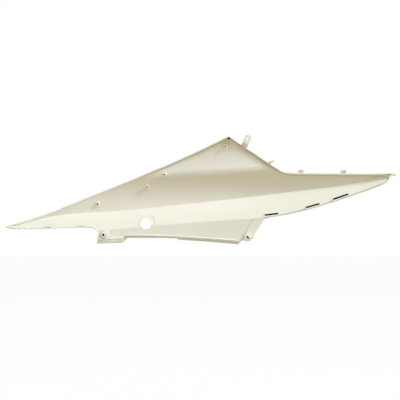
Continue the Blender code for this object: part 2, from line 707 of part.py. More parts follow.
def add_moulding_marks(fixings):
    depth = skin_depth(*EJECTOR_AT)
    post("ejector_mark", EJECTOR_AT, EJECTOR_RADIUS, EJECTOR_RADIUS, depth - EJECTOR_HEIGHT, fixings)
    rail("tick", TICK, TICK_WIDTH, lambda x, z: skin_depth(x, z) - TICK_HEIGHT, inside_wall, fixings)


def cream_plastic():
    material = bpy.data.materials.new("cream_plastic")
    material.use_nodes = True
    shader = material.node_tree.nodes["Principled BSDF"]
    shader.inputs["Base Color"].default_value = (0.86, 0.84, 0.72, 1.0)
    shader.inputs["Roughness"].default_value = 0.42
    shader.inputs["Metallic"].default_value = 0.0
    return material


def hide_guides(collection):
    for thing in collection.objects:
        thing.hide_render = True
        thing.display_type = "WIRE"


def build():
    for thing in list(bpy.data.objects):
        bpy.data.objects.remove(thing, do_unlink=True)
    scene = bpy.context.scene.collection
    fixings = bpy.data.collections.new("fixings")
    openings = bpy.data.collections.new("openings")
    scene.children.link(fixings)
    scene.children.link(openings)

    panel = make_object("side_panel", make_sheet(), scene)
    if panel.data.polygons[0].normal.y > 0:
        panel.data.flip_normals()
    panel.data.materials.append(cream_plastic())

    skin = panel.modifiers.new("skin", "SOLIDIFY")
    skin.thickness = WALL * MM
    skin.offset = -1.0
    skin.use_even_offset = True
    skin.use_quality_normals = True

    add_small_posts(fixings, openings)
    add_front_post(fixings, openings)
    add_rear_post(fixings, openings)
    add_lock_opening(fixings, openings)
    add_ribs(fixings)
    add_loops(fixings, openings)
    add_hooks(fixings, openings)
    add_tab(fixings, openings)
    add_tongue(fixings, openings)
    add_nose_tip(fixings)
    add_recesses(openings)
    add_moulding_marks(fixings)

    for name, operation, group in (("fixings", "UNION", fixings), ("openings", "DIFFERENCE", openings)):
        step = panel.modifiers.new(name, "BOOLEAN")
        step.operation = operation
        step.operand_type = "COLLECTION"
        step.collection = group
        step.solver = "EXACT"
        hide_guides(group)


build()
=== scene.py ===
"""Looks of the scooter side panel: a one-piece cream moulding seen from its inner side.

Shapes are worked out in millimetres in the part's own frame, X along the machine,
Y outward and Z up, and become metres where a mesh is made. A depth is a place along Y.
"""

import json
import math

import bmesh
import bpy
import numpy as np
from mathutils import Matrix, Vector

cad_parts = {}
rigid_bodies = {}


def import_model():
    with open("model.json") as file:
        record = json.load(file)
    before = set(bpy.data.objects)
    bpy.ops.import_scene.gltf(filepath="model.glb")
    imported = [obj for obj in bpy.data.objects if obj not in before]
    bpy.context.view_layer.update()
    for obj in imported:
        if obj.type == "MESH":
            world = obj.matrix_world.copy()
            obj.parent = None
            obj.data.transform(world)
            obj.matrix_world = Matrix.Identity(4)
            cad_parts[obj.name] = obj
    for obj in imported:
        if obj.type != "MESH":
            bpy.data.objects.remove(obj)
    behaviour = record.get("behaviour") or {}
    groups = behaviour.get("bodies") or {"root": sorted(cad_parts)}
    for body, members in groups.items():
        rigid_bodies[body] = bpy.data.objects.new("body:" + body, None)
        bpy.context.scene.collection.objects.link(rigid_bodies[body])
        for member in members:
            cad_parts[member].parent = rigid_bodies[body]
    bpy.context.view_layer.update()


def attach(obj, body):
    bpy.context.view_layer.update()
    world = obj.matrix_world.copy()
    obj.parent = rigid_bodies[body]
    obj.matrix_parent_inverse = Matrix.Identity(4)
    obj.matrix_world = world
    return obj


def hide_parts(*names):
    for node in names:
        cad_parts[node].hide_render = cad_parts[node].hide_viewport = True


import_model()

MM = 0.001
BODY = "root"

# Skin
WALL = 2.5
SEAT_TO_SKIN = 14.0
ROUND = 1.3                 # half width of the rounded creases
STATION_GAP = 1.7
SECTION_ROWS = (8, 5, 14, 9, 11, 8)     # rows of points in each zone of a section, from below

# Outline, as (x, z) points
NOSE_TOP = [(-215.0, 18.6), (-138.0, 42.6), (-28.0, 86.6), (74.0, 127.0)]
EDGE_STEP = (83.0, 131.2)
PEAK = (275.6, 216.4)
FIN_TOP = [EDGE_STEP, (170.0, 167.8), PEAK]
TAIL_TOP = [PEAK, (345.9, 169.8), (379.0, 147.8), (401.0, 139.4), (424.0, 137.2), (630.0, 134.7)]
NOSE_LOW = [(-215.0, 15.0), (-183.0, 13.1), (-139.0, 13.8), (-51.0, 16.4), (-30.0, 15.8), (-20.0, 13.8),
            (-14.0, 11.0), (-10.8, 8.3)]
APRON_CREASE = [(-10.8, 8.3), (35.7, 12.7), (124.2, 20.4), (212.8, 28.2), (301.4, 34.2), (357.5, 38.8)]
TAIL_LOW = [(357.5, 38.8), (390.0, 43.2), (434.0, 52.6), (478.0, 64.4), (522.0, 78.8), (566.0, 93.4),
            (610.0, 110.2), (617.0, 113.4), (622.0, 117.8), (628.0, 126.0)]
MAIN_CREASE = [(-215.0, 13.6), (-190.0, 20.4), (-172.0, 25.0), (-128.0, 37.6), (-95.0, 43.6), (-51.0, 47.0),
               (37.0, 52.9), (169.0, 66.0), (301.0, 80.6), (433.0, 97.0), (565.0, 115.4), (631.0, 127.5)]
VALLEY = [(98.0, 131.9), (169.0, 134.6), (301.0, 141.2), (378.0, 145.1)]
SKIN_START = -207.0
SKIN_END = 627.0
EXTRA_STATIONS = [-24.0, 616.0]

APRON_LEFT = APRON_CREASE[0][0]
APRON_RIGHT = APRON_CREASE[-1][0]
APRON_FOOT = [(-15.0, -19.5), (36.7, -17.5), (44.2, -15.6), (51.5, -7.0), (135.2, -7.3), (161.8, -8.5),
              (164.6, -11.3), (214.0, -14.4), (258.3, -17.6), (295.8, -21.3), (299.4, -19.0), (302.2, -15.0),
              (309.0, -11.8), (313.0, -13.4), (318.8, -15.2), (324.3, -13.0), (327.9, -7.0)]
APRON_RIB = [(-12.8, -10.4), (20.0, -8.1), (43.4, -7.5), (48.4, -1.2), (110.0, -1.8), (168.8, -4.2),
             (240.0, -8.8), (301.9, -13.4)]
STRIP_FROM = 290.0
STRIP_RIB_TOP = (333.0, 37.0)
END_FADE = 12.0             # the nose's and the tail's lower edges grow over this length from the apron

# Depth, and lean of the zones in degrees
CREASE_DEPTH = [(-215.0, -2.0), (-100.0, 27.0), (0.0, 43.0), (150.0, 49.0), (300.0, 46.0), (450.0, 30.0),
                (560.0, 9.0), (642.0, -15.0)]
BAND_LEAN = [(-215.0, 28.0), (0.0, 35.0), (330.0, 35.0), (625.0, 28.0)]
FIELD_LEAN_LOW = [(-215.0, 20.0), (-120.0, 18.0), (-30.0, 4.0), (100.0, -1.5), (200.0, 4.0), (300.0, 10.0),
                  (450.0, 20.0), (625.0, 28.0)]
FIELD_LEAN_HIGH = [(-215.0, 30.0), (100.0, 32.5), (175.0, 37.0), (265.0, 42.0), (350.0, 43.0), (450.0, 38.5),
                   (625.0, 42.0)]
FIN_LEAN_LOW = -5.0
FIN_LEAN_HIGH = 22.0
FIN_ROLL = 65.0
VALLEY_ROUND = 9.0
APRON_LEAN = 1.0
HEM_LEAN = [(44.0, 54.0), (7.0, 17.0)]

# Rolled and returned edges
CURL_HEIGHT = [(-190.0, 2.5), (-100.0, 4.0), (60.0, 7.0), (110.0, 13.0), (235.0, 14.0), (276.0, 19.0),
               (312.0, 13.0), (400.0, 13.0), (600.0, 8.0), (625.0, 4.0)]
CURL_LEAN = [(-190.0, 6.0), (40.0, 10.0), (110.0, 24.0), (240.0, 38.0), (276.0, 46.0), (312.0, 34.0),
             (345.0, 30.0), (400.0, 20.0), (600.0, 12.0)]
RETURN_REACH = [(-215.0, 0.6), (-150.0, 0.6), (60.0, 1.4), (100.0, 2.2), (262.0, 2.4), (276.0, 3.4),
                (345.0, 3.8), (400.0, 4.0), (600.0, 3.5), (625.0, 3.0)]
RETURN_DRAFT = [(-215.0, 20.0), (70.0, 26.0), (110.0, 42.0), (276.0, 46.0), (350.0, 46.0), (410.0, 18.0),
                (625.0, 16.0)]
RIM_THICK = [(-215.0, 2.4), (-192.0, 3.6), (-145.0, 4.8), (-110.0, 4.0), (-60.0, 3.0), (70.0, 2.8),
             (90.0, 2.9), (255.0, 2.6), (272.0, 0.8), (372.0, 0.5), (400.0, 3.6), (625.0, 3.8)]
RETURN_CORNER = 0.42        # share of the returned edge that its rounded corner takes
LOW_RETURN = 3.0
LOW_RETURN_DRAFT = 2.0
TAIL_LIP_HEIGHT = 2.0
TAIL_LIP_DEPTH = 3.0
TAIL_LIP_WALL = 2.0

# Posts: (x, z) and height above the skin; holes: radius and depth; forms: (radius, depth below the face)
SMALL_POSTS = [((-15.2, 68.3), 8.0), ((95.2, 105.5), 10.0), ((133.9, 133.2), 10.0), ((268.5, 194.9), 9.0)]
POST_FOOT = 4.6
POST_TOP = 3.9
POST_HOLE = (1.7, 7.0)
FRONT_POST = (0.0, 0.0)
FRONT_FOOT = 10.2
FRONT_TOP = 6.0
FRONT_HOLE = (2.65, 12.0)
COLLAR_DEPTH = 1.3
COLLAR = [(10.0, 9.0), (9.6, 2.2), (9.3, 1.5), (8.9, COLLAR_DEPTH), (8.1, COLLAR_DEPTH),
          (6.6, COLLAR_DEPTH), (6.2, 1.0)]
REAR_POST = (317.8, -5.6)
REAR_POST_HEIGHT = 9.0
REAR_FOOT = 7.4
REAR_HEAD = [(7.8, 6.0), (7.2, 0.7), (7.0, 0.2), (6.5, 0.0), (3.0, 0.0)]
REAR_SLOT_TURN = -48.0
REAR_SLOT_REACH = 2.1       # from the slot's middle to the centre of either end
REAR_SLOT_RADIUS = 1.75
FOOT_SINK = 1.2             # feet start this far inside the wall
EJECTOR_AT = (115.6, 10.2)
EJECTOR_MARK = [(6.0, FOOT_SINK), (6.0, -0.2), (5.7, -0.35), (5.0, -0.4)]
TICK = [(213.5, 26.0), (221.0, 22.2)]

# Corner beside the front post
CORNER_WEB = [(-9.0, 6.0), (-12.0, 0.0), (-13.4, -9.6), (-13.2, -11.4), (20.0, -9.2), (42.0, -8.6),
              (42.0, -6.6), (20.0, -7.0), (5.0, -7.0), (-5.0, -5.0), (-7.0, 3.0)]
CORNER_HEM = [(-13.4, -10.4), (-14.6, -18.9), (36.0, -16.8), (40.0, -15.4), (42.0, -8.0), (20.0, -8.6)]
WEB_RUN = (4.0, 42.0)
WEB_START = COLLAR_DEPTH + 0.5
WEB_FALL = 9.8
HEM_BEHIND_WEB = 1.5

# Lock opening and its pad
LOCK_AT = (92.8, 23.8)
LOCK_RADIUS = 11.9
PAD_OUTLINE = [(-16.4, 1.5), (-13.2, 9.0), (-7.0, 15.4), (2.0, 19.0), (9.4, 18.4), (15.6, 13.2),
               (18.8, 7.0), (20.0, 0.0), (15.0, -4.6), (-14.0, -5.6)]
PAD_LEFT = -16.4
PAD_RIGHT = 20.0
PAD_PROUD = 0.9
PAD_SUNK = 1.3
PAD_SLOPE = 1.0

# Loops, hooks, tab and tongue
LOOPS = [((357.2, 43.6), (384.0, 47.0)), ((447.3, 60.7), (474.4, 68.3)), ((507.0, 78.9), (537.3, 89.5))]
LOOP_SLOT_RADIUS = 1.75
LOOP_RIM = 2.4
LOOP_HEIGHT = 2.8
LOW_CLAW = [(-1.5, -1.0), (1.5, 3.4), (5.0, 5.4), (12.4, 7.4), (14.8, 7.0), (15.0, 4.6), (10.0, 1.6),
            (6.5, -1.2), (6.0, -4.0)]
HIGH_CLAW = [(-1.0, -2.0), (1.4, 2.8), (3.6, 6.2), (6.0, 7.4), (14.6, 7.3), (16.8, 6.0), (16.6, 4.0),
             (14.4, 3.0), (12.2, 1.4), (12.0, -2.0)]
HOOKS = [((362.5, 157.6), LOW_CLAW), ((427.0, 136.6), HIGH_CLAW), ((520.5, 135.8), HIGH_CLAW)]
HOOK_WIDTH = 5.4            # along Y
HOOK_LEAN = 0.3
HOOK_EYE = (10.4, 2.2)
HOOK_EYE_RADIUS = 1.3
TAB_ROOT = (309.2, 193.8)
TAB_ROOT_DEPTH = 2.6
TAB_TURN = 66.0
TAB_LENGTH = 27.6
TAB_TIP = 4.0               # length of the rounded tip
TAB_HALF_WIDTH = 7.2
TAB_THICK = 2.5
TAB_JOGGLE_RUN = (0.8, 7.0)
TAB_JOGGLE = 3.0
TAB_HOLE_AT = 19.4
TAB_HOLE_SIDE = 4.2
TAB_RIDGES = (6.2, 3.4)
TAB_RIDGE_RUN = (11.4, 22.5)
TAB_RIDGE_HEIGHT = 0.9
TAB_CROSS_RIB = ((11.2, 5.9), (8.2, -5.9))
TONGUE_END = 640.5
TONGUE_OUTLINE = [(-29.5, -0.6), (-2.0, -0.2), (0.0, -2.2), (0.0, -5.8), (-2.6, -6.4), (-4.4, -4.6),
                  (-7.0, -5.2), (-11.5, -7.6), (-29.5, -5.2)]
TONGUE_SLIT = ((622.4, 132.2), (629.0, 133.9))
TONGUE_DASH = ((623.4, 133.1), (628.0, 133.1))

# Nose and peak
NOSE_TIP_FROM = -199.0
NOSE_TIP_ROUND = -211.0     # the tip's end is rounded from here
NOSE_TIP_RADIUS = 4.0
NOSE_SLITS = [(-133.0, -116.0), (-58.0, -43.0)]
NOSE_MARK = (-201.0, -191.0)
NOSE_SLIT_HEIGHT = 1.6
PEAK_POCKET = ((PEAK[0] - 0.8, PEAK[1] - 4.4), (PEAK[0] + 1.7, PEAK[1] - 4.5))
PEAK_POCKET_RADIUS = 1.5
PEAK_TINT_AT = (271.0, 205.0)

# Painted shade, as shares from 0 to 1: SHADE for a warm tint where the skin turns from the light, TINT for a
# brown tint of shade along edges and in thin lines, DARK for black shade down in recesses
LIGHT_SIDE = np.array([0.31, -0.56, 0.77])
SHADE_FROM = 0.62
SHADE_POWER = 1.25
SHADE_SHARE = 0.96
LIP_SHADE = 0.9
LOOP_SHADE = 0.05
TAB_SHADE = 0.08
HOOK_SHADE = 0.3
TONGUE_SHADE = 0.3
FACE_TINT = 0.65
PAD_TINT = 0.6
BOX_TINT = 0.7
NOSE_TINT = 0.5
MARK_TINT = 0.33
TONGUE_TINT = 0.6
EYE_DARK = (0.25, 0.5)
DASH_DARK = 0.35
MASK_REACH = 0.15           # a hole's mask ends this far past its wall
TAB_RIGHT = 350.0           # of what stands above the edge, the tab is left of here and the hooks right

# Colours
CREAM = ((0.826, 0.834, 0.742, 1.0), (0.846, 0.857, 0.775, 1.0))
GLOSSY_CREAM = ((0.862, 0.852, 0.742, 1.0), (0.88, 0.871, 0.775, 1.0))
# painted shade: the warm colour the inner side takes where it turns from the light
SHADED = (0.85, 0.745, 0.44, 1.0)
# painted shade: the brown of shadowed lines along edges and round small parts
PAINTED_EDGE_SHADE = (0.55, 0.45, 0.25, 1.0)
# painted shade: near black, for the shade down in slots, holes and the peak's pocket
PAINTED_HOLLOW_SHADE = (0.01, 0.007, 0.003, 1.0)
WHITE = (1.0, 1.0, 1.0, 1.0)
PALE = (0.86, 0.86, 0.85, 1.0)

# Studio, in metres and watts; a lamp is name, direction from the middle, power, size, beam in degrees
MIDDLE = (0.2, 0.0, 0.07)
FLOOR_AT = -0.46
FLOOR_GLOW = 1.03
AMBIENT = 0.07
AMBIENT_COLOUR = (1.0, 0.6, 0.3, 1.0)
LAMP_DISTANCE = 8.0
LAMP_COLOUR = (1.0, 1.0, 0.985)
LAMPS = [("top_lamp", (0.10, -0.60, 0.80), 277.0, 5.0, 180.0),
         ("key_lamp", (0.72, -0.42, 0.54), 300.0, 0.5, 180.0),
         ("fill_lamp", (-0.55, -0.58, 0.60), 92.0, 3.0, 180.0),
         ("back_lamp", (-0.30, 0.93, 0.20), 4.5, 2.0, 16.0)]
CAMERA_AT = (0.2128, -2.444, 0.0769)
CAMERA_LENS = 100.0
CAMERA_SENSOR = 36.0
SHARP_ANGLE = 28.0


def tan(degrees):
    return np.tan(np.radians(degrees))


def smooth_line(points):
    """Monotone cubic through (x, z) points, straight beyond its ends.

    Tangents are harmonic means of the neighbouring slopes, or 0 at a turn."""
    xs, zs = np.array(points).T
    slopes = np.diff(zs) / np.diff(xs)
    a, b = slopes[:-1], slopes[1:]
    same = a * b > 0
    inner = np.where(same, 2 * a * b / np.where(same, a + b, 1.0), 0.0)
    tangents = np.concatenate([slopes[:1], inner, slopes[-1:]])

    def value(x):
        x = np.asarray(x, float)
        i = np.clip(np.searchsorted(xs, x, side="right") - 1, 0, len(xs) - 2)
        h = xs[i + 1] - xs[i]
        u = np.clip((x - xs[i]) / h, 0.0, 1.0)
        inside = ((1 + 2 * u) * (1 - u) ** 2 * zs[i] + u * u * (3 - 2 * u) * zs[i + 1]
                  + u * (1 - u) ** 2 * h * tangents[i] - u * u * (1 - u) * h * tangents[i + 1])
        before, after = np.minimum(x - xs[0], 0.0), np.maximum(x - xs[-1], 0.0)
        return inside + tangents[0] * before + tangents[-1] * after
    return value


nose_top, fin_top, tail_top = smooth_line(NOSE_TOP), smooth_line(FIN_TOP), smooth_line(TAIL_TOP)
nose_low, apron_crease, tail_low = smooth_line(NOSE_LOW), smooth_line(APRON_CREASE), smooth_line(TAIL_LOW)
crease_line, valley_line = smooth_line(MAIN_CREASE), smooth_line(VALLEY)
crease_depth, band_lean = smooth_line(CREASE_DEPTH), smooth_line(BAND_LEAN)
field_low, field_high = smooth_line(FIELD_LEAN_LOW), smooth_line(FIELD_LEAN_HIGH)
curl_height, curl_lean = smooth_line(CURL_HEIGHT), smooth_line(CURL_LEAN)
return_reach, return_draft = smooth_line(RETURN_REACH), smooth_line(RETURN_DRAFT)
rim_thick = smooth_line(RIM_THICK)


def ease(t):
    """0 below 0, 1 above 1, and t*t*(3 - 2t) between."""
    t = np.clip(t, 0.0, 1.0)
    return t * t * (3 - 2 * t)


def bend(d, half):
    """A rounded kink: 0 for d under -half, d over half, and (d + half)^2 / (4 half) between."""
    return np.where(d > half, d, np.where(d < -half, 0.0, (d + half) ** 2 / (4 * half)))


def top_edge(x):
    """The upper outline: nose curve, a short step, the fin's two sides, the tail's curve."""
    step = np.interp(x, [NOSE_TOP[-1][0], EDGE_STEP[0]], [NOSE_TOP[-1][1], EDGE_STEP[1]])
    high = np.where(x <= PEAK[0], fin_top(x), tail_top(x))
    return np.where(x <= NOSE_TOP[-1][0], nose_top(x), np.where(x <= EDGE_STEP[0], step, high))


def steepness(x):
    """Length of the upper outline per millimetre of x: the root of 1 + slope squared."""
    return np.hypot(1.0, (top_edge(x + 2.0) - top_edge(x - 2.0)) / 4.0)


def return_rise(x):
    """Height of the returned edge as seen from the front: its run plus its wall, square to the edge."""
    draft = np.radians(return_draft(x))
    return (return_reach(x) * np.tan(draft) + rim_thick(x) * np.cos(draft)) * steepness(x)


def top_corner(x):
    """Height where the skin turns into its returned edge."""
    return top_edge(x) - return_rise(x)


def main_crease(x):
    """The crease between band and field, kept a little under the returned edge at the nose."""
    return np.minimum(crease_line(x), top_corner(x) - 1.2)


def lower_line(x):
    """Lower end of the band: just above the nose's edge, the apron's crease, just above the tail's edge."""
    x = np.asarray(x, float)
    rise = (WALL + LOW_RETURN * tan(LOW_RETURN_DRAFT)) * 0.8
    at_tip = np.clip((x + 216.0) / 16.0, 0.15, 1.0)
    nose = nose_low(x) + rise * np.clip((APRON_LEFT - x) / END_FADE, 0.0, 1.0) * at_tip
    tail = tail_low(x) + TAIL_LIP_HEIGHT * np.clip((x - APRON_RIGHT) / END_FADE, 0.0, 1.0)
    return np.where(x < APRON_LEFT, nose, np.where(x <= APRON_RIGHT, apron_crease(x), tail))


def leaning(z, knots):
    """How far a surface has come inward at z: the integral of a slope that runs straight between knots."""
    fall = np.zeros(np.broadcast(z, knots[0][0]).shape)
    for (za, sa), (zb, sb) in zip(knots, knots[1:]):
        run = np.clip(z, za, zb) - za
        share = run / np.maximum(zb - za, 1e-6)
        fall = fall + run * (sa + (sb - sa) * share / 2)
    return fall + np.maximum(z - knots[-1][0], 0.0) * knots[-1][1]


def curl(x, z):
    """How far the rolled top edge has come inward: a cube of the share of its height."""
    reach = np.minimum(curl_height(x), 0.4 * (top_corner(x) - main_crease(x)))
    share = np.clip((z - top_corner(x) + reach) / reach, 0.0, 1.0)
    return tan(curl_lean(x)) * reach * share ** 3 / 3


BAND_FALL = (crease_line(0.0) - apron_crease(0.0)) * tan(band_lean(0.0))
SEAT_SHIFT = SEAT_TO_SKIN - float(crease_depth(0.0) - BAND_FALL)


def body_depth(x, z):
    """Inner face of band, field, valley and fin.

    From the crease the band leans one way and the field the other, with a rounded
    kink between them; above it the slope changes evenly from knot to knot."""
    crease = main_crease(x)
    band, low, high = tan(band_lean(x)), tan(field_low(x)), tan(field_high(x))
    bend_at = np.maximum(valley_line(x), crease + VALLEY_ROUND + 1.0)
    d = z - crease
    knots = [(crease, low), (bend_at - VALLEY_ROUND, high), (bend_at + VALLEY_ROUND, tan(FIN_LEAN_LOW)),
             (bend_at + VALLEY_ROUND + FIN_ROLL, tan(FIN_LEAN_HIGH))]
    kink = band * d - (band + low) * bend(d, ROUND)
    return crease_depth(x) + SEAT_SHIFT + kink - leaning(z, knots) + low * np.maximum(d, 0.0) - curl(x, z)


def hem_line(x):
    return np.where(x <= APRON_RIB[-1][0], np.interp(x, *np.array(APRON_RIB).T),
                    np.interp(x, *np.array(APRON_FOOT).T) + 1.0)


def skin_depth(x, z):
    """Inner face of the whole panel, with the apron and its outward-turned hem below the band."""
    x, z = np.asarray(x, float), np.asarray(z, float)
    crease = lower_line(np.clip(x, APRON_LEFT, APRON_RIGHT))
    below = np.maximum(crease - z, 0.0)
    hem = bend(np.minimum(hem_line(x), crease) - z, 1.0) * tan(np.interp(x, *HEM_LEAN))
    apron = body_depth(x, crease) + below * tan(APRON_LEAN) + hem
    in_apron = (x >= APRON_LEFT - 6) & (x <= APRON_RIGHT) & (z < crease)
    return np.where(in_apron, apron, body_depth(x, z))


def rim_depth(x):
    """Depth of the returned edge's rim."""
    return float(body_depth(x, top_corner(x)) - return_reach(x))


def moved(depth, shift):
    """A depth, given as a function of (x, z), moved along Y."""
    return lambda x, z: depth(x, z) + shift


def stations():
    """Places along X of the sections, with one at every corner of the outline."""
    corners = [SKIN_START, SKIN_END, NOSE_TOP[-1][0], EDGE_STEP[0], PEAK[0] - 0.8, PEAK[0], PEAK[0] + 0.8,
               STRIP_FROM, APRON_RIB[-1][0], APRON_LEFT, APRON_RIGHT] + EXTRA_STATIONS
    corners = np.unique(corners + [x for x, z in APRON_FOOT[1:9]])
    runs = [np.linspace(a, b, max(2, int(round((b - a) / STATION_GAP)) + 1))[:-1]
            for a, b in zip(corners, corners[1:])]
    return np.concatenate(runs + [corners[-1:]])


def spread(low, high, count):
    """Evenly spaced heights from low up to, not including, high, for every station."""
    return low[:, None] + (high - low)[:, None] * np.linspace(0.0, 1.0, count + 1)[:-1]


def in_rows(x, y, z):
    """A grid of points whose rows stand at the stations x."""
    return np.stack([np.broadcast_to(x[:, None], y.shape), y, z], axis=-1)


def bezier(t, a, b, c):
    """A quadratic Bezier from a to c round b."""
    return (1 - t) ** 2 * a + 2 * t * (1 - t) * b + t * t * c


def section_paths(x):
    """Inner face from the band's lower line up to the rim, one row of points per station.

    The heights are spread between the crease, the valley and the roll; the depth is
    body_depth. The returned edge follows as a quadratic Bezier round the corner and
    a straight run toward the frame."""
    crease, corner = main_crease(x), top_corner(x)
    low = np.minimum(lower_line(x), crease - 1.0)
    span = corner - crease
    under = crease - np.minimum(ROUND, 0.4 * (crease - low))
    over = crease + np.minimum(ROUND, 0.3 * span)
    top = corner - np.minimum(1.6, 0.25 * span)
    roll = corner - np.minimum(curl_height(x), 0.4 * span)
    roll = np.clip(roll, over + 0.15 * (top - over), top - 0.1 * (top - over))
    first = np.minimum(valley_line(x) - VALLEY_ROUND, over + 0.5 * (roll - over))
    second = np.minimum(valley_line(x) + VALLEY_ROUND, over + 0.8 * (roll - over))
    ends = (low, under, over, first, second, roll, top)
    z = np.concatenate([spread(a, b, count) for a, b, count in zip(ends, ends[1:], SECTION_ROWS)]
                       + [top[:, None]], axis=1)
    y = body_depth(x[:, None], z)
    corner_y = body_depth(x, corner)
    reach = return_reach(x)
    out_y = corner_y - reach
    out_z = corner + reach * tan(return_draft(x)) * steepness(x)
    mid_y = corner_y + (out_y - corner_y) * RETURN_CORNER
    mid_z = corner + (out_z - corner) * RETURN_CORNER
    t = np.linspace(0.0, 1.0, 7)[1:]
    s = np.linspace(0.0, 1.0, 4)[1:]
    y, z = (np.concatenate([path, bezier(t, path[:, -1:], at_corner[:, None], middle[:, None]),
                            middle[:, None] + (out - middle)[:, None] * s], axis=1)
            for path, at_corner, middle, out in ((y, corner_y, mid_y, out_y), (z, corner, mid_z, out_z)))
    return in_rows(x, y, z)


def unit(v):
    return v / np.maximum(np.linalg.norm(v, axis=-1, keepdims=True), 1e-9)


def outward(points, away):
    """Unit normals of a grid of points, on the side that away points to at the grid's middle."""
    normals = unit(np.cross(np.gradient(points, axis=1), np.gradient(points, axis=0)))
    middle = normals[normals.shape[0] // 2, normals.shape[1] // 2]
    return normals if np.dot(middle, away) > 0 else -normals


def capped(inner, outer, steps=6, dome=0.35):
    """The rounded end between the two faces of the wall, at the last column of both.

    A half ellipse: its width is the wall and its height is dome times the wall."""
    a, b = inner[:, -1], outer[:, -1]
    end = unit(unit(inner[:, -1] - inner[:, -2]) + unit(outer[:, -1] - outer[:, -2]))
    thick = np.linalg.norm(b - a, axis=-1)[:, None, None]
    angle = np.linspace(0.0, np.pi, steps + 2)[1:-1][None, :, None]
    middle = ((a + b) / 2)[:, None]
    return middle + ((a - b) / 2)[:, None] * np.cos(angle) + end[:, None] * thick * dome * np.sin(angle)


def numbered(grid, start=0):
    """Vertex numbers of a grid of points, counted from start."""
    rows, columns = grid.shape[:2]
    return start + np.arange(rows * columns).reshape(rows, columns)


def grid_faces(index, closed=False):
    """Quads between neighbouring rows and columns of a grid of vertex numbers."""
    if closed:
        index = np.concatenate([index, index[:, :1]], axis=1)
    quads = np.stack([index[:-1, :-1], index[:-1, 1:], index[1:, 1:], index[1:, :-1]], axis=-1)
    return quads.reshape(-1, 4)


def ribbon(row):
    """Quads that close the end of a loop of points, each joined to the one across."""
    half = len(row) // 2
    a, b = row[:half], row[::-1][:half]
    quads = np.stack([a[:-1], b[:-1], b[1:], a[1:]], axis=-1)
    return quads[(a[:-1] != b[:-1]) & (a[1:] != b[1:])]


def placed(name, data):
    """A new object with its data, in the scene."""
    thing = bpy.data.objects.new(name, data)
    bpy.context.scene.collection.objects.link(thing)
    return thing


def solid(name, points, faces):
    """A mesh object from points in millimetres and faces, with its normals facing out."""
    mesh = bpy.data.meshes.new(name)
    mesh.from_pydata((np.asarray(points) * MM).tolist(), [], [list(map(int, f)) for f in faces])
    made = bmesh.new()
    made.from_mesh(mesh)
    bmesh.ops.recalc_face_normals(made, faces=made.faces)
    bmesh.ops.triangulate(made, faces=[f for f in made.faces if len(f.verts) > 4])
    made.to_mesh(mesh)
    made.free()
    return placed(name, mesh)


def lower_paths(x, start, kind):
    """Inner face below the band's lower line, going down from it, for the stations x.

    nose: an edge returned toward the frame. tail: a lip rolled outward.
    apron: the apron's face, whose columns fan toward its fixing strip, then the hem."""
    if kind == "apron":
        last = APRON_FOOT[-1][0]
        fan = STRIP_FROM + (x - STRIP_FROM) * (last - STRIP_FROM) / (APRON_RIGHT - STRIP_FROM)
        foot_x = np.where(x <= STRIP_FROM, x, fan)
        foot_x = foot_x + (APRON_FOOT[0][0] - APRON_LEFT) * (1 - ease((x - APRON_LEFT) / 9.0))
        foot_z = np.interp(foot_x, *np.array(APRON_FOOT).T) + 0.4
        top_z = start[:, 2]
        hem = np.minimum(hem_line(foot_x), top_z - 1.0)
        hem_share = np.clip((top_z - hem) / (top_z - foot_z), 0.3, 0.93)[:, None]
        share = np.concatenate([hem_share * np.linspace(0.0, 1.0, 11)[1:],
                                hem_share + (1 - hem_share) * np.linspace(0.0, 1.0, 6)[1:]], axis=1)
        px = x[:, None] + (foot_x - x)[:, None] * share
        pz = top_z[:, None] + (foot_z - top_z)[:, None] * share
        below = np.minimum(pz, lower_line(np.clip(px, APRON_LEFT, APRON_RIGHT)))
        return np.stack([px, skin_depth(px, below), pz], axis=-1)
    share = np.linspace(0.0, 1.0, 5)[1:][None, :]
    if kind == "nose":
        depth = LOW_RETURN * np.clip((x - SKIN_START + 4.0) / 20.0, 0.3, 1.0)[:, None]
        y = start[:, 1:2] - depth * share
        z = start[:, 2:3] - depth * share * tan(LOW_RETURN_DRAFT)
    else:
        fade = ease((SKIN_END - x) / 10.0)[:, None]
        y = start[:, 1:2] + TAIL_LIP_DEPTH * np.sin(share * np.pi / 2) * fade
        z = start[:, 2:3] - TAIL_LIP_HEIGHT * (0.15 + 0.85 * fade) * share
    return in_rows(x, y, z)


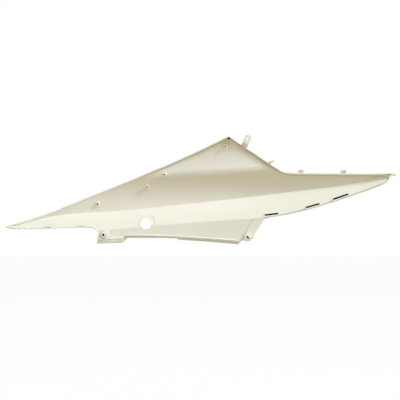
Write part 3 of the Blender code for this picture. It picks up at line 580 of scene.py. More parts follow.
def skin():
    """The moulded skin as one closed surface.

    The upper strip runs from the lower line up the inner face, round the rim and down
    the outer face. Below it hang three strips of the same make: the nose's return, the
    apron and the tail's lip. The outer face is the inner one moved along its normals by
    the wall's thickness, which changes to the rim's own toward the upper edge."""
    x = stations()
    inner = section_paths(x)
    count = inner.shape[1]
    near_rim = ease((np.arange(count) - (count - 16)) / 12.0)[None, :, None]
    outer = inner + outward(inner, (0, 1, 0)) * (WALL + (rim_thick(x)[:, None, None] - WALL) * near_rim)
    upper = np.concatenate([inner, capped(inner, outer), outer[:, ::-1]], axis=1)
    points = [upper.reshape(-1, 3)]
    index = numbered(upper)
    faces = [grid_faces(index), ribbon(index[0]), ribbon(index[-1])]
    total = index.size
    for kind, used, away, wall in (("nose", x <= APRON_LEFT, (0, 0, -1), WALL),
                                   ("apron", (x >= APRON_LEFT) & (x <= APRON_RIGHT), (0, 1, 0), WALL),
                                   ("tail", x >= APRON_RIGHT, (0, 1, -1), TAIL_LIP_WALL)):
        rows = np.flatnonzero(used)
        start = inner[rows, 0]
        path = np.concatenate([start[:, None], lower_paths(x[rows], start, kind)], axis=1)
        back = path + outward(path, away) * wall
        back[:, 0] = outer[rows, 0]
        strip = np.concatenate([path[:, 1:], capped(path, back), back[:, :0:-1]], axis=1)
        points.append(strip.reshape(-1, 3))
        own = numbered(strip, total)
        total += own.size
        own = np.concatenate([index[rows, :1], own, index[rows, -1:]], axis=1)
        faces += [grid_faces(own), ribbon(own[0]), ribbon(own[-1])]
    return solid("skin", np.concatenate(points), np.concatenate(faces))


def loft(name, rings):
    """A closed solid from rings of points, with a fan over the first and the last ring."""
    rings = np.asarray(rings, float)
    index = numbered(rings)
    centres = np.stack([rings[0].mean(axis=0), rings[-1].mean(axis=0)])
    faces = grid_faces(index, closed=True).tolist()
    for row, centre in ((index[0], index.size), (index[-1], index.size + 1)):
        faces += np.stack([row, np.roll(row, -1), np.full(len(row), centre)], axis=-1).tolist()
    return solid(name, np.concatenate([rings.reshape(-1, 3), centres]), faces)


def angles(sides):
    return 2 * np.pi * (np.arange(sides) + 0.5) / sides


def squared(wave, power):
    """A wave made squarer: its size to a power, with its sign."""
    return np.sign(wave) * np.abs(wave) ** power


def turned_post(name, place, rows, sides=56):
    """A surface of revolution about a line along Y: each row is (radius, level, height).

    A level of 0 follows the skin at that height above it, and 1 lies flat at that depth."""
    angle = angles(sides)
    rings = []
    for radius, level, height in rows:
        x, z = place[0] + radius * np.cos(angle), place[1] + radius * np.sin(angle)
        y = (1 - level) * (skin_depth(x, z) - height) + level * height
        rings.append(np.stack([x, y, z], axis=-1))
    return loft(name, rings)


def flared(radius):
    """The foot of a post: a fillet of about 1.6 mm that starts inside the wall."""
    fillet = ((1.9, -FOOT_SINK), (1.7, -0.2), (1.0, 0.25), (0.45, 0.75), (0.1, 1.6))
    return [(radius + wider, 0.0, height) for wider, height in fillet]


def flat(rows, y):
    """Rows of (radius, depth below y) for turned_post that lie flat."""
    return [(radius, 1.0, y + down) for radius, down in rows]


def holed_top(radius, y, hole, depth):
    """The head of a post: a rounded edge, a flat ring at depth y, and a blind hole with a small chamfer."""
    return flat([(radius, 0.6), (radius - 0.18, 0.18), (radius - 0.6, 0.0), (hole + 0.3, 0.0), (hole, 0.3),
                 (hole, 0.6), (hole * 0.96, depth), (hole * 0.5, depth + 0.4)], y)


def rear_face():
    """Depth of the rear post's seat face."""
    return float(skin_depth(*REAR_POST)) - REAR_POST_HEIGHT


def rear_slot():
    """Centres of the round ends of the rear post's slot."""
    return turned_about([(-REAR_SLOT_REACH, 0.0), (REAR_SLOT_REACH, 0.0)], REAR_POST, REAR_SLOT_TURN)


def posts():
    """Four small posts, the front post with its collar, the rear post and the ejector mark."""
    made = []
    for number, (place, height) in enumerate(SMALL_POSTS, start=1):
        y = float(skin_depth(*place)) - height
        rows = flared(POST_FOOT) + holed_top(POST_TOP, y, *POST_HOLE)
        made.append(turned_post(f"small_post_{number}", place, rows))
    front = flared(FRONT_FOOT)[:4] + flat(COLLAR, 0.0) + holed_top(FRONT_TOP, 0.0, *FRONT_HOLE)
    mark = flat(EJECTOR_MARK, float(skin_depth(*EJECTOR_AT)))
    return made + [turned_post("front_post", FRONT_POST, front),
                   turned_post("rear_post", REAR_POST, flared(REAR_FOOT) + flat(REAR_HEAD, rear_face())),
                   turned_post("ejector_mark", EJECTOR_AT, mark)]


def rib(name, path, profile):
    """A rib: a profile of (offset across, height above the skin) carried along a path of (x, z).

    Long runs get a point every 5 mm and each section stands square to the mean of
    the two runs that meet there."""
    path = np.array(path, float)
    runs = [np.linspace(a, b, max(2, int(np.hypot(*(b - a)) / 5) + 1))[:-1] for a, b in zip(path, path[1:])]
    line = np.concatenate(runs + [path[-1:]])
    into = unit(np.diff(line, axis=0))
    along = unit(np.concatenate([into[:1], into[:-1] + into[1:], into[-1:]]))
    across = np.stack([-along[:, 1], along[:, 0]], axis=-1)
    lean = np.concatenate([[1.0], np.maximum(0.5, np.sum(along[1:-1] * into[1:], axis=1)), [1.0]])
    profile = np.array(profile, float)
    place = line[:, None] + across[:, None] * (profile[:, 0] / lean[:, None])[..., None]
    y = skin_depth(place[..., 0], place[..., 1]) - profile[:, 1]
    return loft(name, np.stack([place[..., 0], y, place[..., 1]], axis=-1))


def rib_profile(width, height, foot=0.9, draft=0.7):
    """Half a rib and its mirror: a foot fillet, a side that draws in by draft, a rounded top."""
    wide, narrow = width / 2 + draft, width / 2
    half = [(wide + foot, -FOOT_SINK), (wide + foot, 0.0), (wide + 0.3, 0.35), (wide, 1.0),
            (narrow - 0.1, height - 0.5), (narrow - 0.28, height - 0.12), (narrow - 0.6, height)]
    return half + [(-offset, level) for offset, level in half[::-1]]


def turned(along, across, centre, degrees):
    """x and z of places given along and across a direction, from a centre."""
    c, s = math.cos(math.radians(degrees)), math.sin(math.radians(degrees))
    return centre[0] + along * c - across * s, centre[1] + along * s + across * c


def turned_about(points, centre, degrees):
    return np.stack(turned(*np.asarray(points, float).T, centre, degrees), axis=-1)


def inset(outline, amount):
    """A closed outline moved inward: each point goes along the mean of its two edge normals."""
    outline = np.asarray(outline, float)
    after = unit(np.roll(outline, -1, axis=0) - outline)
    before = np.roll(after, 1, axis=0)
    area = np.sum(outline[:, 0] * np.roll(outline[:, 1], -1) - outline[:, 1] * np.roll(outline[:, 0], -1))
    turn = 1.0 if area > 0 else -1.0
    normal = unit(np.stack([-(before + after)[:, 1], (before + after)[:, 0]], axis=-1)) * turn
    edge = np.stack([-after[:, 1], after[:, 0]], axis=-1) * turn
    return outline + normal * amount / np.maximum(0.6, np.sum(normal * edge, axis=1))[:, None]


def rounded(outline, radius, steps=3):
    """A polygon with its corners replaced by Bezier arcs that start radius away from each corner."""
    outline = np.asarray(outline, float)
    back, ahead = np.roll(outline, 1, axis=0) - outline, np.roll(outline, -1, axis=0) - outline
    reach_back = np.minimum(radius, 0.45 * np.linalg.norm(back, axis=1))[:, None]
    reach_ahead = np.minimum(radius, 0.45 * np.linalg.norm(ahead, axis=1))[:, None]
    a, c = outline + unit(back) * reach_back, outline + unit(ahead) * reach_ahead
    t = np.linspace(0.0, 1.0, steps)[None, :, None]
    return bezier(t, a[:, None], outline[:, None], c[:, None]).reshape(-1, 2)


def rectangle(low, high, radius):
    """A rectangle between two corners, with its own corners rounded."""
    return rounded([low, (high[0], low[1]), high, (low[0], high[1])], radius)


def dense(outline, gap):
    """A closed outline with extra points on its sides, at most gap apart."""
    outline = np.asarray(outline, float)
    sides = zip(outline, np.roll(outline, -1, axis=0))
    return np.concatenate([np.linspace(a, b, int(np.hypot(*(b - a)) / gap) + 2)[:-1] for a, b in sides])


def ring(centre, radius, count=72):
    angle = 2 * np.pi * np.arange(count) / count
    return np.stack([centre[0] + radius * np.cos(angle), centre[1] + radius * np.sin(angle)], axis=-1)


def capsule(start, end, radius, steps=9):
    """Outline of a slot with round ends, from one end's centre to the other's."""
    heading = math.atan2(end[1] - start[1], end[0] - start[0])
    turn = heading + np.linspace(-np.pi / 2, np.pi / 2, steps)
    reach = radius * np.stack([np.cos(turn), np.sin(turn)], axis=-1)
    return np.concatenate([end + reach, start - reach])


def at_depth(outline, value, shift=0.0):
    """An outline of (x, z) put at a depth, which is a number or a function of (x, z)."""
    y = value(outline[:, 0], outline[:, 1]) if callable(value) else np.full(len(outline), value)
    return np.stack([outline[:, 0], y + shift, outline[:, 1]], axis=-1)


def plate(name, outline, front, back, edge=0.4, draft=0.0):
    """A flat form with softened edges, wider at its back by draft.

    front and back are depths, or functions of (x, z)."""
    wide = inset(outline, -draft)
    softer = edge * 0.3
    rings = np.array([at_depth(inset(wide, edge), back), at_depth(inset(wide, softer), back, -softer),
                      at_depth(wide, back, -edge), at_depth(outline, front, edge),
                      at_depth(inset(outline, softer), front, softer),
                      at_depth(inset(outline, edge), front)])
    index = numbered(rings)
    faces = grid_faces(index, closed=True).tolist() + [index[0].tolist(), index[-1].tolist()[::-1]]
    return solid(name, rings.reshape(-1, 3), faces)


def loops():
    return [plate(f"loop_{number}", capsule(start, end, LOOP_SLOT_RADIUS + LOOP_RIM),
                  moved(body_depth, -LOOP_HEIGHT), moved(body_depth, 1.6), edge=0.5, draft=0.4)
            for number, (start, end) in enumerate(LOOPS, start=1)]


def hooks():
    """Claws on the rim, whose front faces lean back with their height."""
    made = []
    for number, (root, claw) in enumerate(HOOKS, start=1):
        face = rim_depth(root[0]) + 0.4

        def front(x, z):
            return face - HOOK_LEAN * (z - root[1] - 3.0)

        outline = rounded(turned_about(claw, root, 0.0), 0.9)
        made.append(plate(f"hook_{number}", outline, front, face + HOOK_WIDTH, edge=0.5))
    return made


def hook_eyes():
    """Centre of each upper hook's eye, and the depth of the rim there."""
    return [((x + HOOK_EYE[0], z + HOOK_EYE[1]), rim_depth(x)) for (x, z), claw in HOOKS[1:]]


def along_tab(x, z):
    """Places measured along the tab from its root and across it."""
    c, r = math.cos(math.radians(TAB_TURN)), math.sin(math.radians(TAB_TURN))
    return (x - TAB_ROOT[0]) * c + (z - TAB_ROOT[1]) * r, (z - TAB_ROOT[1]) * c - (x - TAB_ROOT[0]) * r


def tab():
    """The screw tab: a rounded bar section carried along a line that joggles toward the frame.

    The joggle is an eased step, and the half width falls as a quarter ellipse at the tip."""
    joggle_from, joggle_to = TAB_JOGGLE_RUN
    tip_from = TAB_LENGTH - TAB_TIP
    s = np.concatenate([np.linspace(-TAB_ROOT_DEPTH, 0.0, 2), np.linspace(0.4, joggle_to, 12),
                        np.linspace(joggle_to + 1.0, tip_from, 9),
                        TAB_LENGTH - TAB_TIP * (1 - np.sin(np.linspace(0.1, np.pi / 2, 8)))])
    past = np.clip((s - TAB_LENGTH + TAB_TIP) / TAB_TIP, 0.0, 1.0)
    half = TAB_HALF_WIDTH * (0.35 + 0.65 * np.sqrt(1 - past ** 2))
    face = rim_depth(TAB_ROOT[0]) + 0.4 - TAB_JOGGLE
    behind = rim_depth(TAB_ROOT[0] + 7.0) + 0.5
    y = behind + TAB_THICK / 2 - (behind - face) * ease((s - joggle_from) / (joggle_to - joggle_from))
    angle = angles(28)
    wide, deep = squared(np.cos(angle), 0.14), squared(np.sin(angle), 0.3)
    x, z = turned(s[:, None], half[:, None] * wide, TAB_ROOT, TAB_TURN)
    made = [loft("tab", np.stack([x, y[:, None] + deep * TAB_THICK / 2, z], axis=-1))]
    ridges = [(*TAB_CROSS_RIB, 1.1)]
    ridges += [((TAB_RIDGE_RUN[0], offset), (TAB_RIDGE_RUN[1], offset), 0.65) for offset in TAB_RIDGES]
    for number, (a, b, radius) in enumerate(ridges, start=1):
        outline = capsule(*turned_about([a, b], TAB_ROOT, TAB_TURN), radius, steps=5)
        made.append(plate(f"tab_ridge_{number}", outline, face - TAB_RIDGE_HEIGHT, face + 1.2, edge=0.3))
    return made


def tongue():
    """The tongue at the tail's end, level with the rim there."""
    def front(x, z):
        x = np.minimum(x, SKIN_END)
        return body_depth(x, top_corner(x)) - return_reach(SKIN_END)

    root = float(top_edge(TONGUE_END + TONGUE_OUTLINE[0][0]))
    outline = rounded(turned_about(TONGUE_OUTLINE, (TONGUE_END, root), 0.0), 0.9)
    return [plate("tail_tongue", outline, front, moved(front, 5.0), edge=0.5)]


def nose_tip():
    """The solid point of the nose: sections between the two outlines that shrink to a rounded end."""
    x = np.concatenate([np.linspace(NOSE_TIP_FROM, NOSE_TIP_ROUND, 9),
                        NOSE_TIP_ROUND - NOSE_TIP_RADIUS * np.sin(np.linspace(0.15, 1.5, 8))])
    top, low = nose_top(x) - 0.6, nose_low(x) + 0.6
    past = np.clip(NOSE_TIP_ROUND - x, 0, NOSE_TIP_RADIUS) / NOSE_TIP_RADIUS
    end = np.sqrt(np.clip(1 - past ** 2, 0.02, 1.0))
    middle, half = (top + low) / 2, (top - low) / 2 * end
    angle = angles(32)
    up, deep = squared(np.sin(angle), 0.6), squared(np.cos(angle), 0.6)
    z = middle[:, None] + half[:, None] * up
    y = body_depth(x, middle)[:, None] + 0.6 + 1.7 * end[:, None] * deep
    return [loft("nose_tip", in_rows(x, y, z))]


def pad_outline():
    return rounded(turned_about(PAD_OUTLINE, LOCK_AT, 0.0), 1.5, steps=4)


def pad_face(x, z):
    """The pad stands proud of the band at its left end and lies below it at its right end."""
    share = (x - LOCK_AT[0] - PAD_LEFT) / (PAD_RIGHT - PAD_LEFT)
    return skin_depth(x, z) - PAD_PROUD + (PAD_PROUD + PAD_SUNK) * share


def lock_pad():
    return [plate("lock_pad", pad_outline(), pad_face, moved(skin_depth, 2.2), edge=0.25, draft=1.0)]


def corner_web():
    """The web between the front post's collar, the left edge and the box's rib, and the hem under it.

    Both start level with the collar and sink, with an eased slope, to the apron's own depth."""
    def sunk(x, z):
        return WEB_START + WEB_FALL * ease((x - WEB_RUN[0]) / (WEB_RUN[1] - WEB_RUN[0]))

    made = []
    for name, outline, radius, behind, depth in (("corner_web", CORNER_WEB, 1.0, 0.0, 0.9),
                                                 ("corner_hem", CORNER_HEM, 0.8, HEM_BEHIND_WEB, 1.1)):
        outline = rounded(dense(outline, 3.0), radius)
        made.append(plate(name, outline, moved(sunk, behind), moved(skin_depth, depth), edge=0.35))
    return made


def cutter(name, outline, *levels):
    """A form to take away: one outline at several depths, front first."""
    return loft(name, [at_depth(outline, level) for level in levels])


def cutters():
    """The openings: lock hole, slots, eyes, slits and pocket."""
    def pad_mouth(x, z):
        return np.minimum(skin_depth(x, z), pad_face(x, z) - 0.05)

    around = pad_outline()
    pad = [at_depth(around, moved(skin_depth, -4.0)), at_depth(around, pad_mouth),
           at_depth(inset(around, PAD_SLOPE), pad_face)]
    made = [cutter("lock_cut", ring(LOCK_AT, LOCK_RADIUS), -20.0, 70.0), loft("pad_cut", pad)]
    y = rear_face()
    slot = capsule(*rear_slot(), REAR_SLOT_RADIUS)
    made.append(cutter("rear_slot_cut", slot, y - 2.0, y + 0.2, y + 0.5, y + 8.0))
    depths = [moved(body_depth, shift - LOOP_HEIGHT) for shift in (-1.0, 0.15, 0.4, LOOP_HEIGHT + 1.7)]
    for number, slot in enumerate(LOOPS, start=1):
        made.append(cutter(f"loop_cut_{number}", capsule(*slot, LOOP_SLOT_RADIUS), *depths))
    for number, (eye, y) in enumerate(hook_eyes(), start=2):
        made.append(cutter(f"eye_cut_{number}", ring(eye, HOOK_EYE_RADIUS, 24), y - 1.0, y + 1.0, y + 4.4))
    h = TAB_HOLE_SIDE / 2
    square = rectangle((TAB_HOLE_AT - h, -h), (TAB_HOLE_AT + h, h), 0.5)
    y = rim_depth(TAB_ROOT[0])
    made.append(cutter("tab_cut", turned_about(square, TAB_ROOT, TAB_TURN), y - 12.0, y + 12.0))
    y = rim_depth(SKIN_END)
    (left, foot), (right, top) = TONGUE_SLIT
    slit = rounded([(left, foot), (left, top), (right, top), (right, foot)], 0.3)
    made.append(cutter("tongue_cut", slit, y - 2.0, y + 3.0))
    for number, (a, b) in enumerate(NOSE_SLITS, start=1):
        foot = float(lower_line((a + b) / 2)) - 0.6
        slit = rectangle((a, foot), (b, foot + NOSE_SLIT_HEIGHT), 0.5)
        made.append(cutter(f"nose_cut_{number}", slit, moved(body_depth, -1.0), moved(body_depth, 1.5)))
    y = float(body_depth(*PEAK_POCKET[0]))
    made.append(cutter("peak_cut", capsule(*PEAK_POCKET, PEAK_POCKET_RADIUS), y - 8.0, y - 0.9))
    return made


def joined(name, base, parts, cuts):
    """One moulding: base with every part added and every cut taken out, as a plain mesh."""
    groups = []
    for group_name, things, operation in (("added", parts, "UNION"), ("taken_out", cuts, "DIFFERENCE")):
        group = bpy.data.collections.new(group_name)
        for thing in things:
            group.objects.link(thing)
            bpy.context.scene.collection.objects.unlink(thing)
        step = base.modifiers.new(group_name, "BOOLEAN")
        step.operation = operation
        step.operand_type = "COLLECTION"
        step.collection = group
        step.solver = "MANIFOLD"
        groups.append(group)
    bpy.context.scene.view_layers[0].update()
    graph = bpy.context.evaluated_depsgraph_get()
    mesh = bpy.data.meshes.new_from_object(base.evaluated_get(graph))
    whole = placed(name, mesh)
    for group in groups:
        for thing in list(group.objects):
            bpy.data.objects.remove(thing, do_unlink=True)
        bpy.data.collections.remove(group)
    bpy.data.objects.remove(base, do_unlink=True)
    return whole


def distance_to(line, x, z):
    """Distance of points to a line of (x, z) corners: the least over its runs."""
    least = np.full(len(x), np.inf)
    line = np.array(line, float)
    for a, b in zip(line, line[1:]):
        run = b - a
        share = np.clip(((x - a[0]) * run[0] + (z - a[1]) * run[1]) / np.dot(run, run), 0.0, 1.0)
        least = np.minimum(least, np.hypot(x - a[0] - share * run[0], z - a[1] - share * run[1]))
    return least


def distance_from(centre, x, z):
    return np.hypot(x - centre[0], z - centre[1])


def painted_hollow_shade_mask(x, y, z, surface):
    """Painted shade: 1 down in screw holes, slots and the peak's pocket, less in the hooks' eyes and the
    tongue's dash.
    """
    wells = [(distance_from(place, x, z), POST_HOLE[0], float(skin_depth(*place)) - height + 0.3, 0.3, 0.4)
             for place, height in SMALL_POSTS]
    wells.append((distance_from(FRONT_POST, x, z), FRONT_HOLE[0], 0.3, 0.3, 0.4))
    loop_mouth = surface - LOOP_HEIGHT + 0.15
    wells += [(distance_to(slot, x, z), LOOP_SLOT_RADIUS, loop_mouth, 0.25, 2.2) for slot in LOOPS]
    wells.append((distance_to(rear_slot(), x, z), REAR_SLOT_RADIUS, rear_face() + 0.2, 0.25, 2.2))
    recess = np.zeros(len(x))
    for distance, radius, mouth, fade, behind in wells:
        near = (distance < radius + MASK_REACH) & (y < surface + behind)
        recess = np.where(near, np.maximum(recess, ease((y - mouth) / fade)), recess)
    for (eye, rim_y), share in zip(hook_eyes(), EYE_DARK):
        near = (distance_from(eye, x, z) < HOOK_EYE_RADIUS + 0.3) & (y > rim_y + 0.6)
        recess = np.where(near, share, recess)
    near = distance_to(PEAK_POCKET, x, z) < PEAK_POCKET_RADIUS + 0.2
    recess = np.where(near & (y < surface + 0.6), 1.0, recess)
    on_dash = (distance_to(TONGUE_DASH, x, z) < 1.25) & (y > rim_depth(SKIN_END) + 0.4)
    return np.where(on_dash, DASH_DARK, recess)


def pale_width(x):
    """Width of the rim's own pale face, as seen from the front; behind the peak it has none."""
    face = rim_thick(x) * np.cos(np.radians(return_draft(x)))
    return np.where((x > PEAK[0] - 4.0) & (x < 385.0), -1.0, face)


def stands_above(x, down):
    """Where the tab and the hooks stand above the upper edge."""
    return (down < -0.6) & (x > 290.0) & (x < 545.0)


def shade_mask(x, z, down, outer):
    """Share turned away from the light side, with set values on the lip, loops, tab, hooks and tongue."""
    below = np.minimum(z, top_corner(x) - 1.0)
    slope_x = (skin_depth(x + 1.0, below) - skin_depth(x - 1.0, below)) / 2.0
    slope_z = skin_depth(x, below + 0.5) - skin_depth(x, below - 0.5)
    facing = unit(np.stack([slope_x, -np.ones(len(x)), slope_z], axis=-1))
    away = np.clip(SHADE_FROM - facing @ LIGHT_SIDE, 0.0, 0.95)
    shade = SHADE_SHARE * away ** SHADE_POWER * (1.0 - outer)
    shade = np.where((x > APRON_RIGHT) & (z < lower_line(x) - 0.2), LIP_SHADE, shade)
    for slot in LOOPS:
        shade = np.where(distance_to(slot, x, z) < LOOP_SLOT_RADIUS + LOOP_RIM + 0.5, LOOP_SHADE, shade)
    pale = pale_width(x)
    shade = shade * ease((down - 0.5 * pale) / np.maximum(0.6 * pale, 0.4))
    shade = np.where(stands_above(x, down), np.where(x < TAB_RIGHT, TAB_SHADE, HOOK_SHADE), shade)
    return np.where(x > SKIN_END + 0.3, TONGUE_SHADE, shade)


def painted_edge_shade_mask(x, y, z, surface, down, outer):
    """Share of painted shade in a brown tint: along the returned edge, near the peak and the tail's end, and
    in thin lines on the tab, round the pad and the front post, on the nose's edge and under the box."""
    inside = 1.0 - outer
    on_face = inside * (down > 0)
    # painted shade on the returned edge's inner face, which faces down
    corner = return_rise(x) / steepness(x)
    line = ease((down - pale_width(x)) / 0.5)
    line = line * ease(1.0 - (down - corner) / np.where(x < PEAK[0] - 6.0, 1.6, 3.0))
    rim = line * ease((x - 70.0) / 30.0) * ease((628.0 - x) / 10.0) * inside
    # painted shade on the tab short of its cross rib, and a painted shadow just past the rib
    along, across = along_tab(x, z)
    past_rib = along - np.interp(across, *np.array(TAB_CROSS_RIB)[::-1, ::-1].T)
    above_rib = np.where((past_rib > 1.3) & (past_rib < 3.6) & (across < 2.0), 0.45, 0.0)
    on_tab = stands_above(x, down) & (x < TAB_RIGHT)
    rim = np.where(on_tab, np.where(past_rib < -1.3, 0.3, above_rib), rim)
    # painted shade round the peak and on the field near the tail's end
    rim = np.maximum(rim, FACE_TINT * ease(1.0 - distance_from(PEAK_TINT_AT, x, z) / 20.0) * on_face)
    rim = np.maximum(rim, FACE_TINT * ease((x - 570.0) / 45.0) * (z > main_crease(x) + 3.0) * on_face)
    # painted shade at the nose's point
    rim = np.where(x < -207.5, NOSE_TINT, rim)
    # painted shade in thin lines on the pad's edges
    around = pad_outline()
    at_line = ease(1.0 - distance_to(np.concatenate([around, around[:1]]), x, z) / 0.9)
    on_pad = (distance_from(LOCK_AT, x, z) < 25.0) & (y < surface + 2.0)
    rim = np.where(on_pad, PAD_TINT * at_line * ease(np.abs(x - LOCK_AT[0] - 2.0) / 14.0), rim)
    # painted shadow of the front post's ring on its collar, at the lower left
    off_post = distance_from(FRONT_POST, x, z)
    arc = ease((off_post - 6.1) / 0.3) * ease((9.0 - off_post) / 0.6) * ease(0.4 - (x + z) / 9.0)
    rim = np.maximum(rim, arc * (y < 4.0))
    # painted shade in the nose's slits and in one more line near the point
    for a, b in NOSE_SLITS + [NOSE_MARK]:
        foot = float(lower_line((a + b) / 2)) + 0.2
        on_mark = (distance_to(((a, foot), (b, foot)), x, z) < 1.2) & (y < surface + 1.8)
        rim = np.where(on_mark, MARK_TINT, rim)
    # painted shade along the hem's lower edge under the box
    foot = np.interp(x, *np.array(APRON_FOOT).T)
    under_box = (x > APRON_FOOT[0][0] - 1.0) & (x < APRON_FOOT[3][0]) & (z < foot + 4.0)
    rim = np.where(under_box, BOX_TINT * ease(1.3 - (z - foot) / 2.2) * inside, rim)
    # painted shade at the tongue's end
    return np.where(x > SKIN_END + 0.3, TONGUE_TINT * (x > TONGUE_END - 4.0), rim)


def painted_masks(thing):
    """Point attributes that the finish reads, all from each point's place against the skin's own formula.

    outer: 1 on the outer side. recess: painted shade, black down in a slot, hole or pocket. shade: painted
    shade where the skin is turned from the light side. rim: painted shade, a brown tint along edges and in
    thin lines."""
    places = np.empty(len(thing.data.vertices) * 3)
    thing.data.vertices.foreach_get("co", places)
    x, y, z = places.reshape(-1, 3).T / MM
    surface = skin_depth(x, z)
    down = (top_edge(x) - z) / steepness(x)
    recess = painted_hollow_shade_mask(x, y, z, surface)
    outer = ease((y - surface - 0.8) / 1.2)
    shade = shade_mask(x, z, down, outer)
    outer = outer * (1.0 - recess) * ease((down - 0.6) / 1.6)
    rim = painted_edge_shade_mask(x, y, z, surface, down, outer)
    # recess, rim and shade hold painted shade
    for name, values in (("outer", outer), ("recess", recess), ("rim", rim), ("shade", shade)):
        layer = thing.data.attributes.new(name, "FLOAT", "POINT")
        layer.data.foreach_set("value", values.astype(np.float32))


class Wire:
    """A node's output. Arithmetic on it adds Math nodes to the same tree."""

    def __init__(self, nodes, socket):
        self.nodes = nodes
        self.socket = socket

    def __add__(self, other):
        return self.nodes.math("ADD", self, other)

    __radd__ = __add__

    def __mul__(self, other):
        return self.nodes.math("MULTIPLY", self, other)

    def __sub__(self, other):
        return self.nodes.math("SUBTRACT", self, other)

    def __rsub__(self, other):
        return self.nodes.math("SUBTRACT", other, self)


class Nodes:
    """The node tree of a material or of the world, emptied first."""

    def __init__(self, owner):
        owner.use_nodes = True
        self.tree = owner.node_tree
        self.tree.nodes.clear()

    def node(self, kind, inputs=None, output=0, **settings):
        """Adds a node: its settings first, then the values or wires of its sockets. Gives one output."""
        made = self.tree.nodes.new(kind)
        for name, value in settings.items():
            setattr(made, name, value)
        for name, value in (inputs or {}).items():
            if isinstance(value, Wire):
                self.tree.links.new(value.socket, made.inputs[name])
            else:
                made.inputs[name].default_value = value
        return Wire(self, made.outputs[output]) if len(made.outputs) else None

    def math(self, operation, first, second):
        return self.node("ShaderNodeMath", {0: first, 1: second}, operation=operation)

    def attribute(self, name):
        return self.node("ShaderNodeAttribute", output="Fac", attribute_name=name)

    def ray(self, name):
        return self.node("ShaderNodeLightPath", output=f"Is {name} Ray")

    def blend(self, share, first, second):
        """A colour between two, by share."""
        return self.node("ShaderNodeMix", {0: share, 6: first, 7: second}, output=2, data_type="RGBA")

    def mixed(self, share, first, second):
        """A shader between two, by share."""
        return self.node("ShaderNodeMixShader", {0: share, 1: first, 2: second})

    def noise(self, place, scale, detail, rough):
        inputs = {"Vector": place, "Scale": scale, "Detail": detail, "Roughness": rough}
        return self.node("ShaderNodeTexNoise", inputs, output="Fac")

    def spread(self, value, low, high):
        """value stretched so that low gives 0 and high gives 1, clamped."""
        inputs = {"Value": value, "From Min": low, "From Max": high}
        return self.node("ShaderNodeMapRange", inputs, clamp=True)


def cream_plastic():
    """Cream white moulded plastic: satin and finely grained inside, glossy outside.

    The colour wanders slightly, as it does in a moulding. Painted shade makes it warmer where the inner side
    turns from the light, browner along the rims and in thin lines, and black with no gloss down in slots and
    screw holes."""
    material = bpy.data.materials.new("cream_plastic")
    f = Nodes(material)
    place = f.node("ShaderNodeTexCoord", output="Object")
    drift = f.spread(f.noise(place, 9.0, 3.0, 0.6), 0.35, 0.65)
    grain = f.noise(place, 900.0, 2.0, 0.6)
    orange_peel = f.noise(place, 190.0, 1.0, 0.5)
    scuff = f.spread(f.noise(place, 60.0, 4.0, 0.65), 0.55, 0.75)
    outer, recess, rim, shade = (f.attribute(name) for name in ("outer", "recess", "rim", "shade"))
    # painted shade: warmer and darker where the inner side turns from the light
    inside = f.blend(shade, f.blend(drift, *CREAM), SHADED)
    body = f.blend(outer, inside, f.blend(drift, *GLOSSY_CREAM))
    relief = grain * (1.0 - outer) * 0.6 + orange_peel * outer * 0.25
    bump = f.node("ShaderNodeBump", {"Strength": 0.12, "Distance": 0.0002, "Height": relief})
    # painted shade: a brown tint along the rims and in thin lines
    surface = f.node("ShaderNodeBsdfPrincipled", {
        "Base Color": f.blend(rim * 0.7, body, PAINTED_EDGE_SHADE), "Roughness": 0.46 + scuff * 0.07 - outer * 0.26,
        "Normal": bump, "IOR": 1.46, "Coat Weight": outer * 0.35, "Coat Roughness": 0.08})
    # painted shade: black, with no gloss, down in slots, holes and the pocket
    deep = f.node("ShaderNodeBsdfPrincipled", {
        "Base Color": PAINTED_HOLLOW_SHADE, "Roughness": 1.0, "Specular IOR Level": 0.0})
    f.node("ShaderNodeOutputMaterial", {"Surface": f.mixed(recess, surface, deep)})
    return material


def floor():
    """A pale floor that shows to the camera as the white of the backdrop, with only a faint shadow."""
    material = bpy.data.materials.new("pale_floor")
    f = Nodes(material)
    pale = f.node("ShaderNodeBsdfDiffuse", {"Color": PALE})
    white = f.node("ShaderNodeEmission", {"Color": WHITE, "Strength": FLOOR_GLOW})
    seen = f.ray("Camera") * 0.93 + f.ray("Glossy") * 0.5
    f.node("ShaderNodeOutputMaterial", {"Surface": f.mixed(seen, pale, white)})
    mesh = bpy.data.meshes.new("floor")
    corners = [(-6, -6, FLOOR_AT), (6, -6, FLOOR_AT), (6, 8, FLOOR_AT), (-6, 8, FLOOR_AT)]
    mesh.from_pydata(corners, [], [(0, 1, 2, 3)])
    mesh.materials.append(material)
    thing = placed("floor", mesh)


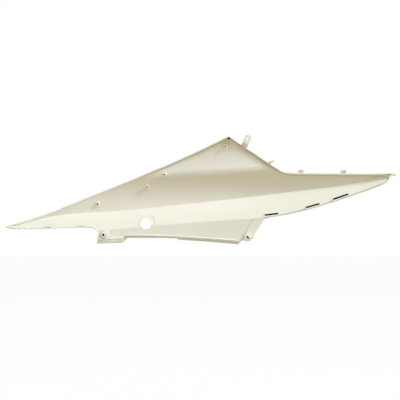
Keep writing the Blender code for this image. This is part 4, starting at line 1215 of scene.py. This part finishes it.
def lamp(name, towards, power, size, beam):
    """A square studio lamp that faces the panel's middle from a direction, its beam in degrees."""
    light = bpy.data.lights.new(name, "AREA")
    light.energy = power
    light.size = size
    light.spread = math.radians(beam)
    light.color = LAMP_COLOUR
    thing = placed(name, light)
    away = Vector(towards).normalized() * LAMP_DISTANCE
    thing.location = Vector(MIDDLE) + away
    thing.rotation_euler = (-away).to_track_quat("-Z", "Y").to_euler()


def studio():
    """Warm world light, white where the camera, a gloss or glass sees it, and the lamps."""
    world = bpy.data.worlds.new("studio")
    bpy.context.scene.world = world
    w = Nodes(world)
    seen = w.math("MAXIMUM", w.ray("Glossy"), w.math("MAXIMUM", w.ray("Camera"), w.ray("Transmission")))
    warm = w.node("ShaderNodeBackground", {"Color": AMBIENT_COLOUR, "Strength": AMBIENT})
    white = w.node("ShaderNodeBackground", {"Color": WHITE})
    w.node("ShaderNodeOutputWorld", {"Surface": w.mixed(seen, warm, white)})
    for settings in LAMPS:
        lamp(*settings)


def camera():
    """The photograph's view, straight at the inner side."""
    data = bpy.data.cameras.new("camera")
    data.lens = CAMERA_LENS
    data.sensor_width = CAMERA_SENSOR
    thing = placed("camera", data)
    thing.location = CAMERA_AT
    thing.rotation_euler = (math.radians(90.0), 0.0, 0.0)
    bpy.context.scene.camera = thing


bpy.context.scene.view_settings.view_transform = "Standard"
camera()
studio()
floor()

added = posts() + loops() + hooks() + tab() + tongue() + nose_tip() + lock_pad() + corner_web()
added += [rib("box_rib", APRON_RIB[:4], rib_profile(2.2, 2.2)),
          rib("apron_rib", APRON_RIB[3:], rib_profile(2.2, 6.0)),
          rib("strip_rib", [APRON_RIB[-1], STRIP_RIB_TOP], rib_profile(1.6, 2.6, 0.5, 0.4)),
          rib("tick", TICK, rib_profile(1.4, 1.2, 0.3, 0.1))]
panel = joined("panel_moulding", skin(), added, cutters())
painted_masks(panel)
panel.data.materials.clear()
panel.data.materials.append(cream_plastic())
panel.data.shade_smooth()
panel.data.set_sharp_from_angle(angle=math.radians(SHARP_ANGLE))
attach(panel, BODY)
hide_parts("side_panel")
